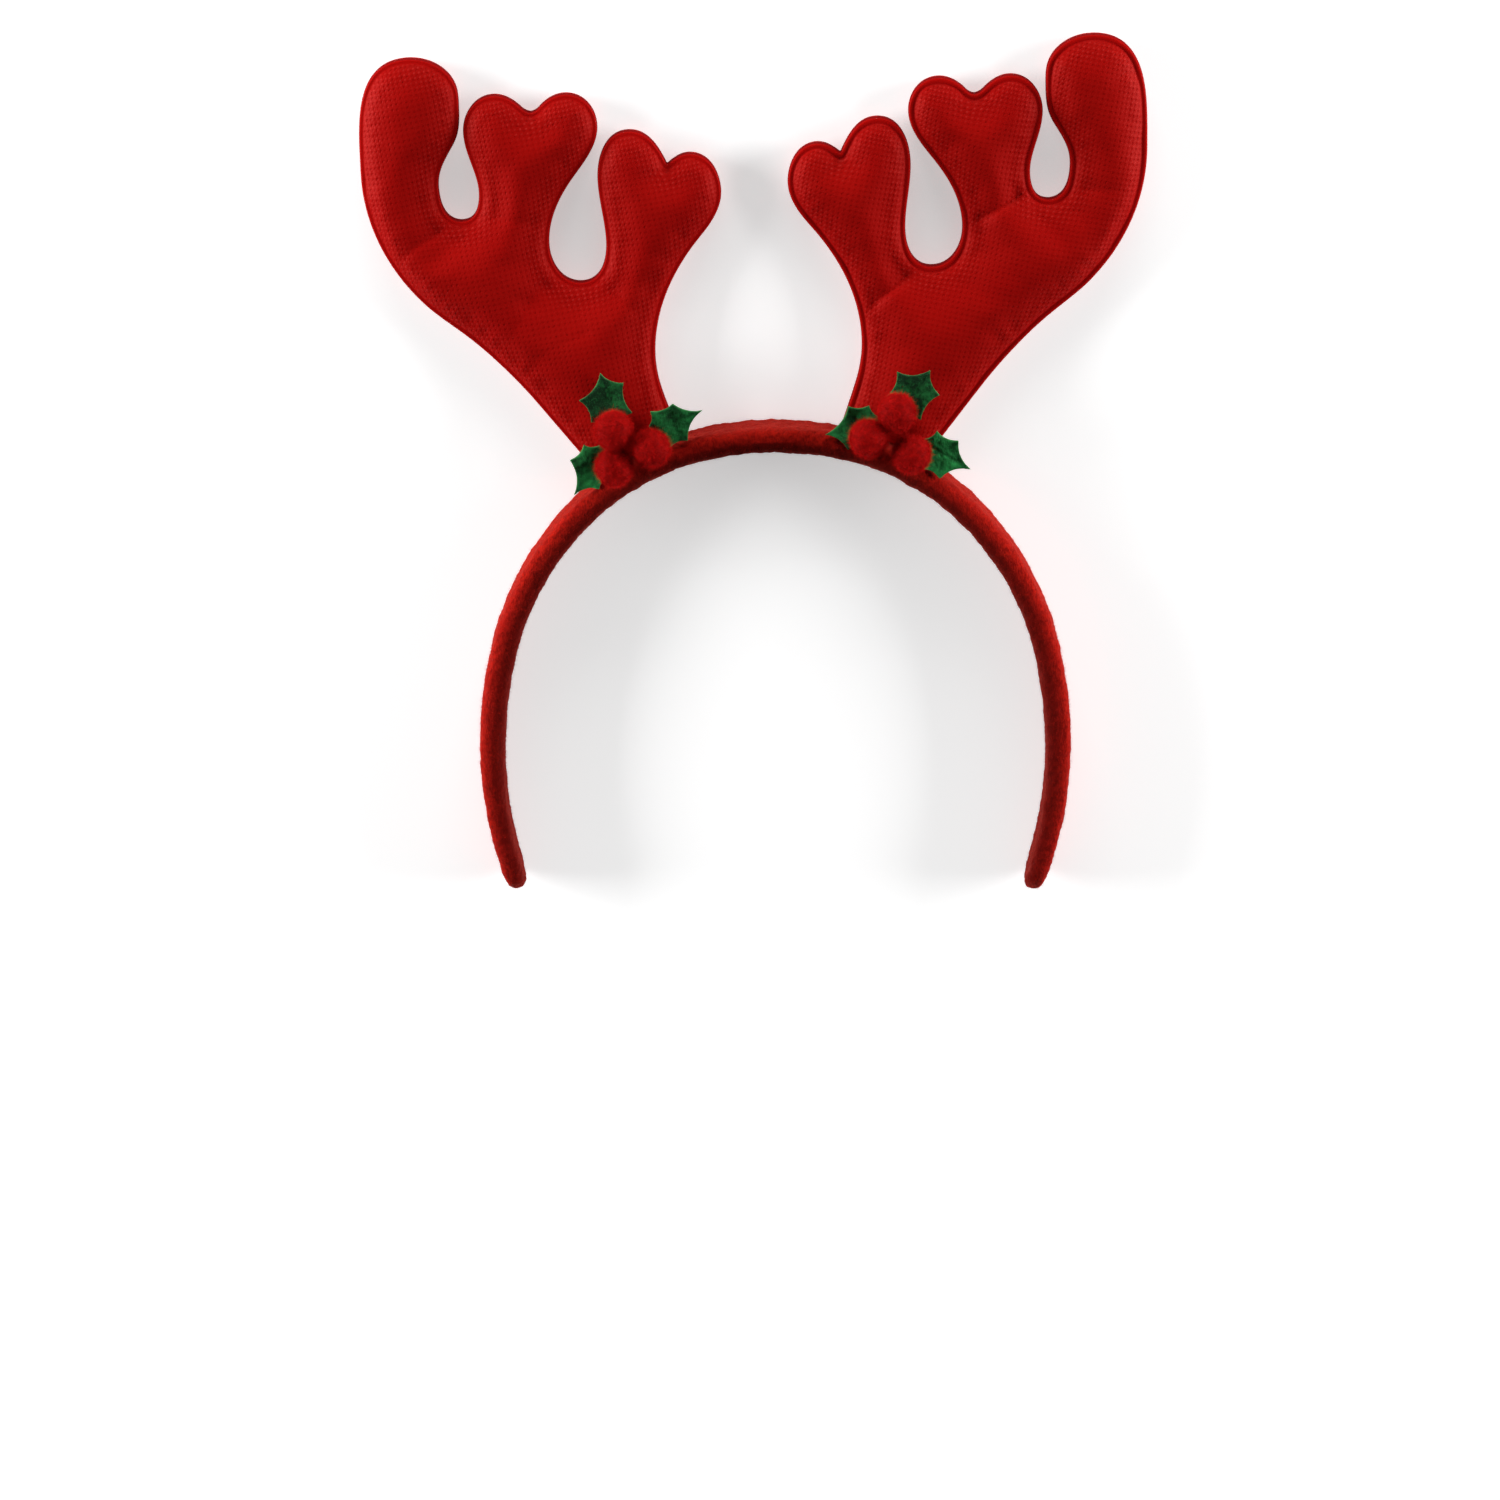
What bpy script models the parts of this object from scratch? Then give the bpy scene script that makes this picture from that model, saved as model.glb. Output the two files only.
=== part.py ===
# Reindeer antler headband, lying on the back edge of its band.
# Metres. +X is to the right as seen from the front, +Y runs from the band's crown to the
# antlers' tips, and +Z is the front, where the holly is. The origin lies on the band's flat
# back edge, below the middle of its crown.

from math import atan2, cos, pi, radians, sin, sqrt, tan

import bmesh
import bpy
import numpy as np
from mathutils import Vector
from mathutils.geometry import delaunay_2d_cdt

# Clearance between pieces that touch
PIECE_GAP = 0.0003

# Points closer than this are one point
MERGE_DISTANCE = 0.0000005

# Band: how thick it is at the crown, how deep from front to back, its rounded edges, and the most
# of its thickness that one edge may take
BAND_THICKNESS = 0.0068
BAND_DEPTH = 0.014
BAND_FRONT_CORNER = 0.0031
BAND_BACK_CORNER = 0.0021
CORNER_SHARE = 0.45
BAND_TIP = 0.007
BAND_SECTION_STEP = 0.0072
CORNER_SEGMENTS = 4

# Radii of the band's outer line, from the crown down to the temples
CROWN_RADIUS = 0.090
SHOULDER_RADIUS = 0.0725
SIDE_RADIUS = 0.0872
TEMPLE_RADIUS = 0.119

# Tangent arcs of half the outer line: name, radius, sweep in degrees
BAND_ARCS = (
    ("crown", CROWN_RADIUS, 10.5),
    ("shoulder", SHOULDER_RADIUS, 34.9),
    ("side", SIDE_RADIUS, 29.7),
    ("temple", TEMPLE_RADIUS, 35.8),
)

# Round tips of the band: how far round each of the last sections lies, in degrees, how much
# slower it narrows than it flattens, and the share of the thickness that it narrows to
TIP_ANGLES = (30, 52, 69, 81, 87)
TIP_POWER = 0.6
TIP_MIDDLE_SHARE = 0.58

# Thickness of the band along half its length: share of that length, share of BAND_THICKNESS
BAND_PROFILE = (
    (0.00, 1.00),
    (0.72, 1.00),
    (1.00, 0.78),
)

# Antlers: two layers of shiny knit, welded along a flat rim and stuffed, with the padding's full
# rise and the first line of points in from the rim
ANTLER_WIDTH = 0.0958
ANTLER_HEIGHT = 0.1098
ANTLER_THICKNESS = 0.010
RIM_WIDTH = 0.002
RIM_THICKNESS = 0.0011
PAD_RISE = 0.009
PAD_FIRST_STEP = 0.0016
ANTLER_LEAN = 1.6
ANTLER_TURN = 1.47
OUTLINE_STEP = 0.0024
FILL_STEP = 0.0052
FILL_MARGIN = 0.0022

# Where each antler's foot sits, measured along the band's outer line from the crown
LEFT_SEAT = 0.0394
RIGHT_SEAT = 0.0306
SEAT_SHARE = 0.262

# Outline of an antler from the inner side of its foot round to the outer side: name, share of
# ANTLER_WIDTH from the inner edge, share of ANTLER_HEIGHT above the band, heading in degrees
# as the line comes in, and how far it turns there
ANTLER_OUTLINE = (
    ("inner side of the foot", 0.172, 0.140, 71, 0),
    ("waist of the stem", 0.197, 0.255, 90, 0),
    ("below the low heart", 0.064, 0.543, 130, 0),
    ("low heart, inner side", 0.000, 0.655, 90, 0),
    ("low heart, inner lobe", 0.087, 0.752, 0, 0),
    ("low heart, cleft", 0.148, 0.727, -38, 103),
    ("low heart, outer lobe", 0.251, 0.811, 0, 0),
    ("low heart, outer side", 0.343, 0.694, -90, 0),
    ("wide notch, inner side", 0.325, 0.534, -90, 0),
    ("wide notch, bottom", 0.397, 0.441, 0, 0),
    ("wide notch, outer side", 0.483, 0.538, 90, 0),
    ("below the tall heart", 0.408, 0.701, 127, 0),
    ("tall heart, inner side", 0.338, 0.824, 90, 0),
    ("tall heart, inner lobe", 0.424, 0.905, 0, 0),
    ("tall heart, into the cleft", 0.492, 0.879, -43, 0),
    ("tall heart, cleft", 0.521, 0.862, 0, 0),
    ("tall heart, out of the cleft", 0.553, 0.879, 43, 0),
    ("tall heart, outer lobe", 0.621, 0.906, 0, 0),
    ("tall heart, outer side", 0.711, 0.816, -90, 0),
    ("narrow notch, inner side", 0.674, 0.665, -90, 0),
    ("narrow notch, bottom", 0.722, 0.600, 0, 0),
    ("narrow notch, outer side", 0.784, 0.690, 90, 0),
    ("tine, above the notch", 0.738, 0.788, 120, 0),
    ("tine, inner side", 0.719, 0.900, 90, 0),
    ("tine, tip", 0.850, 1.000, 0, 0),
    ("tine, outer side", 1.000, 0.725, -90, 0),
    ("below the tine", 0.838, 0.395, -135, 0),
    ("outer side of the stem", 0.747, 0.329, -142, 0),
    ("lower stem", 0.653, 0.257, -135, 0),
    ("outer side of the foot", 0.533, 0.140, -128, 0),
)

# Creases in the front of the stuffing: antler, start across and up, end across and up, as
# shares of the antler's width and height, and depth as a share of its thickness
CREASE_WIDTH = 0.0024
CREASE_STEP = 0.003
CREASES = (
    ("antler_left", 0.787, 0.566, 0.881, 0.530, 0.12),
    ("antler_left", 0.665, 0.592, 0.504, 0.602, 0.05),
    ("antler_left", 0.369, 0.415, 0.260, 0.367, 0.12),
    ("antler_right", 0.658, 0.605, 0.521, 0.544, 0.14),
    ("antler_right", 0.343, 0.425, 0.221, 0.341, 0.14),
)

# Holly: three felt leaves and three pompoms on the front of each antler's foot
BERRY_RADIUS = 0.0056
LEAF_LENGTH = 0.015
LEAF_WIDTH = 0.0125
LEAF_THICKNESS = 0.001
LEAF_CUP = 0.0004
LEAF_CUP_POWER = 1.5
LEAF_STEP = 0.0017
LEAF_FILL_STEP = 0.0026
LEAF_EDGE_MARGIN = 0.001
LEAF_MIDRIB_MARGIN = 0.0014
LEAF_RAMP = 0.0016
LEAF_RAMP_START = 0.0006
SPRIG_SIZE = 0.022

# Where the middle of each sprig lies, across and up from its antler's seat on the band
SPRIG_PLACES = {
    "left": (-0.0022, 0.0056),
    "right": (0.0011, 0.0056),
}

# Pompoms: side, name, across and up from the middle of the sprig as shares of SPRIG_SIZE
BERRIES = (
    ("left", "upper", -0.155, 0.227),
    ("left", "inner", 0.300, 0.000),
    ("left", "lower", -0.150, -0.232),
    ("right", "upper", 0.055, 0.282),
    ("right", "inner", -0.286, -0.041),
    ("right", "lower", 0.236, -0.241),
)

# Leaves: side, name, tip across and up as shares of SPRIG_SIZE, heading in degrees, then how far
# the first spike on the right and on the left lies back from the tip, as a share of LEAF_LENGTH,
# and out from the midrib, as a share of LEAF_WIDTH
LEAVES = (
    ("left", "upper", -0.318, 0.882, 103.5, 0.28, 0.43, 0.40, 0.58),
    ("left", "inner", 0.923, 0.414, 25.8, 0.48, 0.47, 0.42, 0.41),
    ("left", "lower", -0.650, -0.650, 235.0, 0.48, 0.50, 0.34, 0.37),
    ("right", "upper", 0.464, 0.745, 56.4, 0.28, 0.46, 0.35, 0.58),
    ("right", "inner", -0.805, -0.055, 189.7, 0.48, 0.53, 0.35, 0.39),
    ("right", "lower", 0.968, -0.500, -25.2, 0.43, 0.46, 0.42, 0.45),
)

# The leaf behind its first spikes, alike on both sides: name, share of LEAF_LENGTH back from the
# tip, share of LEAF_WIDTH out from the midrib
LEAF_REAR = (
    ("second spike", 0.85, 0.45),
    ("base", 1.00, 0.16),
)
LEAF_HOLLOW_SHARE = 0.13

# Points along a leaf's midrib, as shares of the way from its tip to its base
MIDRIB = (0.15, 0.35, 0.55, 0.75, 0.90)

FELT_RED = (0.42, 0.012, 0.008, 1.0)
KNIT_RED = (0.40, 0.006, 0.006, 1.0)
POMPOM_RED = (0.55, 0.015, 0.010, 1.0)
FELT_GREEN = (0.010, 0.130, 0.030, 1.0)


def clear_scene():
    """Remove whatever the file already holds."""
    for old in list(bpy.data.objects):
        bpy.data.objects.remove(old, do_unlink=True)


def material(name, colour, roughness):
    """A plain non-metal surface of one colour."""
    made = bpy.data.materials.new(name)
    made.use_nodes = True
    shader = made.node_tree.nodes["Principled BSDF"]
    shader.inputs["Base Color"].default_value = colour
    shader.inputs["Roughness"].default_value = roughness
    shader.inputs["Metallic"].default_value = 0.0
    made.diffuse_color = colour
    return made


def new_object(name, points, faces, surface):
    """One closed mesh object, smooth where its faces meet at a shallow angle."""
    mesh = bpy.data.meshes.new(name)
    mesh.from_pydata([tuple(point) for point in points], [], faces)
    work = bmesh.new()
    work.from_mesh(mesh)
    bmesh.ops.triangulate(work, faces=work.faces)
    bmesh.ops.recalc_face_normals(work, faces=work.faces)
    work.to_mesh(mesh)
    work.free()
    mesh.materials.append(surface)
    mesh.shade_smooth()
    mesh.set_sharp_from_angle(angle=radians(50))
    made = bpy.data.objects.new(name, mesh)
    bpy.context.scene.collection.objects.link(made)
    return made


def band_half_length():
    """Length of the outer line from the crown to one end."""
    return sum(radius * radians(sweep) for name, radius, sweep in BAND_ARCS)


def band_station(along):
    """The point on the band's outer line that far from the crown, and the way out from it."""
    side = 1.0 if along >= 0 else -1.0
    left = abs(along)
    x, y, turned = 0.0, BAND_THICKNESS / 2, 0.0
    last = BAND_ARCS[-1][0]
    for name, radius, sweep in BAND_ARCS:
        turn = left / radius if name == last else min(radians(sweep), left / radius)
        x -= radius * sin(turned)
        y -= radius * cos(turned)
        turned += turn
        x += radius * sin(turned)
        y += radius * cos(turned)
        left -= radius * turn
        if left <= 0:
            break
    return Vector((side * x, y)), Vector((side * sin(turned), cos(turned)))


def band_thickness(share):
    """Thickness of the band at a share of the way from the crown to its end."""
    shares = [row[0] for row in BAND_PROFILE]
    sizes = [row[1] * BAND_THICKNESS for row in BAND_PROFILE]
    return float(np.interp(share, shares, sizes))


def band_section(thickness):
    """Rounded section of the band: distance in from the outer line, and height above the back."""
    front = min(BAND_FRONT_CORNER, CORNER_SHARE * thickness)
    back = min(BAND_BACK_CORNER, CORNER_SHARE * thickness)
    corners = (
        (back, back, back, 180),
        (thickness - back, back, back, 270),
        (thickness - front, BAND_DEPTH - front, front, 0),
        (front, BAND_DEPTH - front, front, 90),
    )
    points = []
    for inward, height, radius, start in corners:
        for step in range(CORNER_SEGMENTS + 1):
            angle = radians(start + 90 * step / CORNER_SEGMENTS)
            points.append((inward + radius * cos(angle), height + radius * sin(angle)))
    return points


def build_band(surface):
    """The felt-covered band: one rounded section carried from end to end, with round tips."""
    half = band_half_length()
    body = half - BAND_TIP
    steps = round(body / BAND_SECTION_STEP)
    stations = [(body * step / steps, 1.0) for step in range(steps + 1)]
    stations += [(body + BAND_TIP * sin(radians(a)), cos(radians(a))) for a in TIP_ANGLES]
    mirrored = [(-along, swell) for along, swell in reversed(stations[1:])]
    points, rings = [], []
    for along, swell in mirrored + stations:
        origin, outward = band_station(along)
        thickness = band_thickness(abs(along) / half)
        middle_in, middle_up = TIP_MIDDLE_SHARE * thickness, BAND_DEPTH / 2
        ring = []
        for inward, height in band_section(thickness):
            inward = middle_in + (inward - middle_in) * swell**TIP_POWER
            height = middle_up + (height - middle_up) * swell
            spot = origin - outward * inward
            ring.append(len(points))
            points.append((spot.x, spot.y, height))
        rings.append(ring)
    faces = [tuple(rings[0]), tuple(reversed(rings[-1]))]
    for first, second in zip(rings, rings[1:]):
        for k in range(len(first)):
            after = (k + 1) % len(first)
            faces.append((first[k], first[after], second[after], second[k]))
    return new_object("band", points, faces, surface)


def bezier(start, start_heading, end, end_heading, step):
    """Points of a smooth curve between two headings, the last one left out."""
    chord = end - start
    lie = atan2(chord.y, chord.x)
    first = Vector((cos(start_heading), sin(start_heading)))
    last = Vector((cos(end_heading), sin(end_heading)))
    reach_1 = chord.length * (2 / 3) / (1 + max(0.2, cos(start_heading - lie)))
    reach_2 = chord.length * (2 / 3) / (1 + max(0.2, cos(end_heading - lie)))
    handle_1 = start + first * reach_1
    handle_2 = end - last * reach_2
    hull = (handle_1 - start).length + (handle_2 - handle_1).length + (end - handle_2).length
    count = max(2, round(0.5 * (hull + chord.length) / step))
    points = []
    for k in range(count):
        t = k / count
        u = 1 - t
        points.append(start * u**3 + handle_1 * 3 * u * u * t + handle_2 * 3 * u * t * t + end * t**3)
    return points


def crossing(start, heading, line):
    """Where a ray meets a line of points: the spot, and the index of the point before it."""
    way = Vector((cos(heading), sin(heading)))
    for k, (p, q) in enumerate(zip(line, line[1:])):
        span = q - p
        cross = way.x * span.y - way.y * span.x
        if abs(cross) < 1e-12:
            continue
        gap = p - start
        far = (gap.x * span.y - gap.y * span.x) / cross
        share = (gap.x * way.y - gap.y * way.x) / cross
        if far > 0 and 0 <= share < 1:
            return p + span * share, k
    raise ValueError("the antler's foot misses the band")


class AntlerFrame:
    """Carries an antler's own shares to the model, for one side of the head."""

    def __init__(self, side):
        self.sign = -1.0 if side == "left" else 1.0
        self.seat_along = self.sign * (LEFT_SEAT if side == "left" else RIGHT_SEAT)
        self.seat, self.outward = band_station(self.seat_along)
        self.turn = self.sign * radians(ANTLER_TURN)

    def to_model(self, across, up):
        """Shares of the antler's width and height to the model's X and Y."""
        a = (across - SEAT_SHARE) * ANTLER_WIDTH
        b = up * ANTLER_HEIGHT
        x = a * cos(self.turn) - b * sin(self.turn)
        y = a * sin(self.turn) + b * cos(self.turn)
        return Vector((self.seat.x + self.sign * x, self.seat.y + y))

    def heading(self, degrees_in):
        """A heading in the antler's own outline to one in the model, in radians."""
        angle = radians(degrees_in) + self.turn
        return angle if self.sign > 0 else pi - angle

    def middle_height(self, spot):
        """Height of the middle of the antler's thickness, which leans back to the surface."""
        return BAND_DEPTH / 2 - tan(radians(ANTLER_LEAN)) * (spot.y - self.seat.y)

    def outline(self):
        """The antler's outline in the model, closed along the band by the foot."""
        points = []
        rows = ANTLER_OUTLINE
        for row, after in zip(rows, rows[1:]):
            start = self.to_model(row[1], row[2])
            end = self.to_model(after[1], after[2])
            leave = self.heading(row[3] + row[4])
            arrive = self.heading(after[3])
            points += bezier(start, leave, end, arrive, OUTLINE_STEP)
        first_row, last_row = rows[0], rows[-1]
        first = self.to_model(first_row[1], first_row[2])
        last = self.to_model(last_row[1], last_row[2])
        points.append(last)
        reach = 2.0 * abs(self.seat_along)
        count = round(reach / (0.5 * OUTLINE_STEP))
        line = []
        for k in range(count + 1):
            spot, outward = band_station(self.sign * reach * k / count)
            line.append(spot + outward * PIECE_GAP)
        inner, k_inner = crossing(first, self.heading(first_row[3] + 180), line)
        outer, k_outer = crossing(last, self.heading(last_row[3]), line)
        points += straight(last, outer, OUTLINE_STEP)[1:]
        points.append(outer)
        points += [line[k] for k in range(k_outer - 1, k_inner + 1, -2)]
        points.append(inner)
        points += straight(inner, first, OUTLINE_STEP)[1:]
        return points


def straight(start, end, step):
    """Evenly spaced points of a straight line, the last one left out."""
    count = max(1, round((end - start).length / step))
    return [start.lerp(end, k / count) for k in range(count)]


def distances(spots, line, closed):
    """Shortest distance from each spot to a line of points."""
    p = np.array([tuple(v) for v in line])
    q = np.roll(p, -1, axis=0)
    if not closed:
        p, q = p[:-1], q[:-1]
    spots = np.array([tuple(v) for v in spots])[:, None, :]
    span = (q - p)[None]
    share = ((spots - p[None]) * span).sum(2) / np.maximum((span**2).sum(2), 1e-18)
    near = p[None] + np.clip(share, 0, 1)[..., None] * span
    return np.sqrt(((spots - near) ** 2).sum(2)).min(1)


def inside(spots, loop):
    """Whether each spot lies within a closed loop."""
    p = np.array([tuple(v) for v in loop])
    q = np.roll(p, -1, axis=0)
    spots = np.array([tuple(v) for v in spots])
    x, y = spots[:, :1], spots[:, 1:]
    spans = (p[:, 1] > y) != (q[:, 1] > y)
    rise = np.where(q[:, 1] == p[:, 1], 1.0, q[:, 1] - p[:, 1])
    meets = (q[:, 0] - p[:, 0]) * (y - p[:, 1]) / rise + p[:, 0]
    return (spans & (x < meets)).sum(1) % 2 == 1


def inset(loop, width):
    """A closed loop moved inwards, on the left of the way it runs."""
    moved = []
    for k, here in enumerate(loop):
        before = (here - loop[k - 1]).normalized()
        after = (loop[(k + 1) % len(loop)] - here).normalized()
        way = (before + after).normalized()
        stretch = min(1.6, 1 / max(0.5, way.dot(after)))
        moved.append(here + Vector((-way.y, way.x)) * width * stretch)
    return moved


def area_of(loop):
    """Signed area of a loop, positive where it runs anticlockwise."""
    pairs = zip(loop, loop[1:] + loop[:1])
    return 0.5 * sum(p.x * q.y - q.x * p.y for p, q in pairs)


def triangle_grid(loop, step):
    """Spots of an even triangular grid over a loop's box."""
    xs, ys = [v.x for v in loop], [v.y for v in loop]
    spots = []
    row_height = step * sqrt(3) / 2
    for row in range(int((max(ys) - min(ys)) / row_height) + 1):
        start = min(xs) + (step / 2 if row % 2 else 0)
        for k in range(int((max(xs) - start) / step) + 1):
            spots.append(Vector((start + k * step, min(ys) + row * row_height)))
    return spots


def sheet_triangles(loop, lines, spots):
    """Triangles that fill a loop and keep the given lines and spots."""
    points = list(loop)
    edges = [(k, (k + 1) % len(loop)) for k in range(len(loop))]
    for line, closed in lines:
        first = len(points)
        points += line
        edges += [(first + k, first + k + 1) for k in range(len(line) - 1)]
        if closed:
            edges.append((first + len(line) - 1, first))
    points += spots
    made = delaunay_2d_cdt(points, edges, [], 0, MERGE_DISTANCE, True)
    verts, triangles, sources = made[0], made[2], made[3]
    middles = [(verts[a] + verts[b] + verts[c]) / 3 for a, b, c in triangles]
    keep = inside(middles, loop) & (distances(middles, loop, True) > MERGE_DISTANCE)
    triangles = [t for t, kept in zip(triangles, keep) if kept]
    border = [0] * len(loop)
    for k, origins in enumerate(sources):
        for origin in origins:
            if origin < len(loop):
                border[origin] = k
    return verts, triangles, border


def two_sided(verts, triangles, border, front, back):
    """Points and faces of a closed slab between two heights over the same triangles."""
    points = [(v.x, v.y, z) for v, z in zip(verts, front)]
    points += [(v.x, v.y, z) for v, z in zip(verts, back)]
    count = len(verts)
    faces = [tuple(t) for t in triangles]
    faces += [tuple(count + k for k in reversed(t)) for t in triangles]
    for k, here in enumerate(border):
        after = border[(k + 1) % len(border)]
        faces.append((here, count + here, count + after, after))
    return points, faces


def build_antler(side, surface):
    """One stuffed antler: flat welded rim, rounded padding, creases, back flat where it rests."""
    name = "antler_" + side
    frame = AntlerFrame(side)
    loop = frame.outline()
    if area_of(loop) < 0:
        loop.reverse()
    rim = inset(loop, RIM_WIDTH)
    rise = inset(rim, PAD_FIRST_STEP)
    creases, lines = [], [(rim, True), (rise, True)]
    for owner, across_1, up_1, across_2, up_2, depth in CREASES:
        if owner == name:
            start = frame.to_model(across_1, up_1)
            end = frame.to_model(across_2, up_2)
            creases.append((start, end, depth * ANTLER_THICKNESS))
            way = (end - start).normalized()
            aside = Vector((-way.y, way.x)) * CREASE_WIDTH
            for shift in (-1, 0, 1):
                path = straight(start + aside * shift, end + aside * shift, CREASE_STEP)
                lines.append((path, False))
    spots = triangle_grid(loop, FILL_STEP)
    depth_in = distances(spots, loop, True)
    keep = inside(spots, loop) & (depth_in > RIM_WIDTH + PAD_FIRST_STEP + FILL_MARGIN)
    for start, end, depth in creases:
        keep &= distances(spots, [start, end], False) > CREASE_WIDTH + FILL_MARGIN
    spots = [spot for spot, kept in zip(spots, keep) if kept]
    verts, triangles, border = sheet_triangles(loop, lines, spots)
    depth_in = distances(verts, loop, True)
    dents = np.zeros(len(verts))
    for start, end, depth in creases:
        away = distances(verts, [start, end], False)
        dents += depth * np.exp(-((away / CREASE_WIDTH) ** 2))
    front, back = [], []
    for spot, reach, dent in zip(verts, depth_in, dents):
        half = padding(reach)
        middle = frame.middle_height(spot)
        front.append(middle + max(half - dent, RIM_THICKNESS / 2))
        back.append(max(middle - half, 0.0))
    points, faces = two_sided(verts, triangles, border, front, back)
    return new_object(name, points, faces, surface)


def padding(reach):
    """Half thickness of an antler at a distance in from its outline."""
    share = min(1.0, max(0.0, (reach - RIM_WIDTH) / PAD_RISE))
    swell = sqrt(1 - (1 - share) ** 2)
    return RIM_THICKNESS / 2 + (ANTLER_THICKNESS - RIM_THICKNESS) / 2 * swell


def sprig_spot(side, across, up):
    """A place on a sprig, from shares of its size to the model's X and Y."""
    middle = AntlerFrame(side).seat + Vector(SPRIG_PLACES[side])
    return middle + Vector((across, up)) * SPRIG_SIZE


def leaf_height():
    """Height of the leaves' underside, in front of the fullest part of an antler's foot."""
    return (BAND_DEPTH + ANTLER_THICKNESS) / 2 + PIECE_GAP


def leaf_lift(spot):
    """How far a leaf rises to pass in front of the band's rounded edge."""
    reach = LEAF_LENGTH + SPRIG_SIZE + LEFT_SEAT
    count = round(2 * reach / LEAF_RAMP)
    stations = [band_station(-reach + 2 * reach * k / count) for k in range(count + 1)]
    origin, outward = min(stations, key=lambda station: (station[0] - spot).length)
    inward = (origin - spot).dot(outward)
    share = min(1.0, max(0.0, (inward + LEAF_RAMP_START) / LEAF_RAMP))
    return (BAND_DEPTH + PIECE_GAP - leaf_height()) * share * share * (3 - 2 * share)


def leaf_front(spot):
    """Highest that a leaf's front may reach at a spot."""
    return leaf_height() + leaf_lift(spot) + LEAF_THICKNESS + LEAF_CUP


def berry_height():
    """Height of a pompom's middle, in front of the leaves."""
    return leaf_height() + LEAF_THICKNESS + PIECE_GAP + BERRY_RADIUS


def hollow_edge(start, end, segments, bulge):
    """Points of a leaf's edge between two spikes, curved in by a share of its length."""
    span = end - start
    aside = Vector((-span.y, span.x)) * bulge
    points = []
    for k in range(segments):
        t = k / segments
        points.append(start + span * t + aside * 4 * t * (1 - t))
    return points


def build_leaf(row, surface):
    """One holly leaf of felt, cupped a little towards the front along its midrib."""
    side, name, across, up, heading, right_back, right_out, left_back, left_out = row
    tip = sprig_spot(side, across, up)
    along = Vector((cos(radians(heading)), sin(radians(heading))))
    right = Vector((along.y, -along.x))

    def spot(back, out):
        return tip - along * back * LEAF_LENGTH + right * out * LEAF_WIDTH

    right_half = [spot(right_back, right_out)] + [spot(back, out) for _, back, out in LEAF_REAR]
    left_half = [spot(left_back, -left_out)] + [spot(back, -out) for _, back, out in LEAF_REAR]
    spikes = [tip] + left_half + list(reversed(right_half))
    loop = []
    for k, spike in enumerate(spikes):
        after = spikes[(k + 1) % len(spikes)]
        is_base = k == len(left_half)
        segments = 1 if is_base else max(3, round((after - spike).length / LEAF_STEP))
        loop += hollow_edge(spike, after, segments, 0.0 if is_base else LEAF_HOLLOW_SHARE)
    stem_end = spot(LEAF_REAR[-1][1], 0.0)
    midrib = [tip.lerp(stem_end, share) for share in MIDRIB]
    grid = triangle_grid(loop, LEAF_FILL_STEP)
    keep = inside(grid, loop) & (distances(grid, loop, True) > LEAF_EDGE_MARGIN)
    keep &= distances(grid, midrib, False) > LEAF_MIDRIB_MARGIN
    spots = [v for v, kept in zip(grid, keep) if kept]
    verts, triangles, border = sheet_triangles(loop, [(midrib, False)], spots)
    back = []
    for v in verts:
        out = min(1.0, abs((v - tip).dot(right)) / (LEAF_WIDTH / 2))
        back.append(leaf_height() + leaf_lift(v) + LEAF_CUP * out**LEAF_CUP_POWER)
    front = [z + LEAF_THICKNESS for z in back]
    points, faces = two_sided(verts, triangles, border, front, back)
    return new_object("leaf_%s_%s" % (side, name), points, faces, surface)


def build_berry(row, surface):
    """One pompom, pressed flat where it meets its neighbours and the leaves."""
    side, name, across, up = row
    here = sprig_spot(side, across, up)
    others = [sprig_spot(r[0], r[2], r[3]) for r in BERRIES if r[0] == side and r[1] != name]
    work = bmesh.new()
    bmesh.ops.create_icosphere(work, subdivisions=3, radius=BERRY_RADIUS)
    for vert in work.verts:
        for other in others:
            way = (other - here).to_3d()
            limit = way.length / 2 - PIECE_GAP / 2
            way.normalize()
            past = vert.co.dot(way) - limit
            if past > 0:
                vert.co -= way * past
    centre = Vector((here.x, here.y, berry_height()))
    points = []
    for vert in work.verts:
        spot = vert.co + centre
        spot.z = max(spot.z, leaf_front(spot.xy) + PIECE_GAP) if vert.co.z < 0 else spot.z
        points.append(tuple(spot))
    faces = [tuple(vert.index for vert in face.verts) for face in work.faces]
    work.free()
    return new_object("berry_%s_%s" % (side, name), points, faces, surface)


def main():
    clear_scene()
    felt_red = material("felt_red", FELT_RED, 0.95)
    knit_red = material("knit_red", KNIT_RED, 0.45)
    pompom_red = material("pompom_red", POMPOM_RED, 1.0)
    felt_green = material("felt_green", FELT_GREEN, 0.9)
    build_band(felt_red)
    for side in ("left", "right"):
        build_antler(side, knit_red)
    for row in LEAVES:
        build_leaf(row, felt_green)
    for row in BERRIES:
        build_berry(row, pompom_red)


main()
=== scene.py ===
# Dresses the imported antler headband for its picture.
# Metres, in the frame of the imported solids: +X to the right from the front, +Y from the crown of
# the band to the antlers' tips, +Z towards the viewer. The headband lies on its back at Z = 0.

from math import acos, ceil, cos, pi, radians, sin

import bmesh
import bpy
import numpy as np
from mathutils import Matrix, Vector, noise
from mathutils.bvhtree import BVHTree
from mathutils.geometry import delaunay_2d_cdt
from mathutils.kdtree import KDTree


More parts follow.
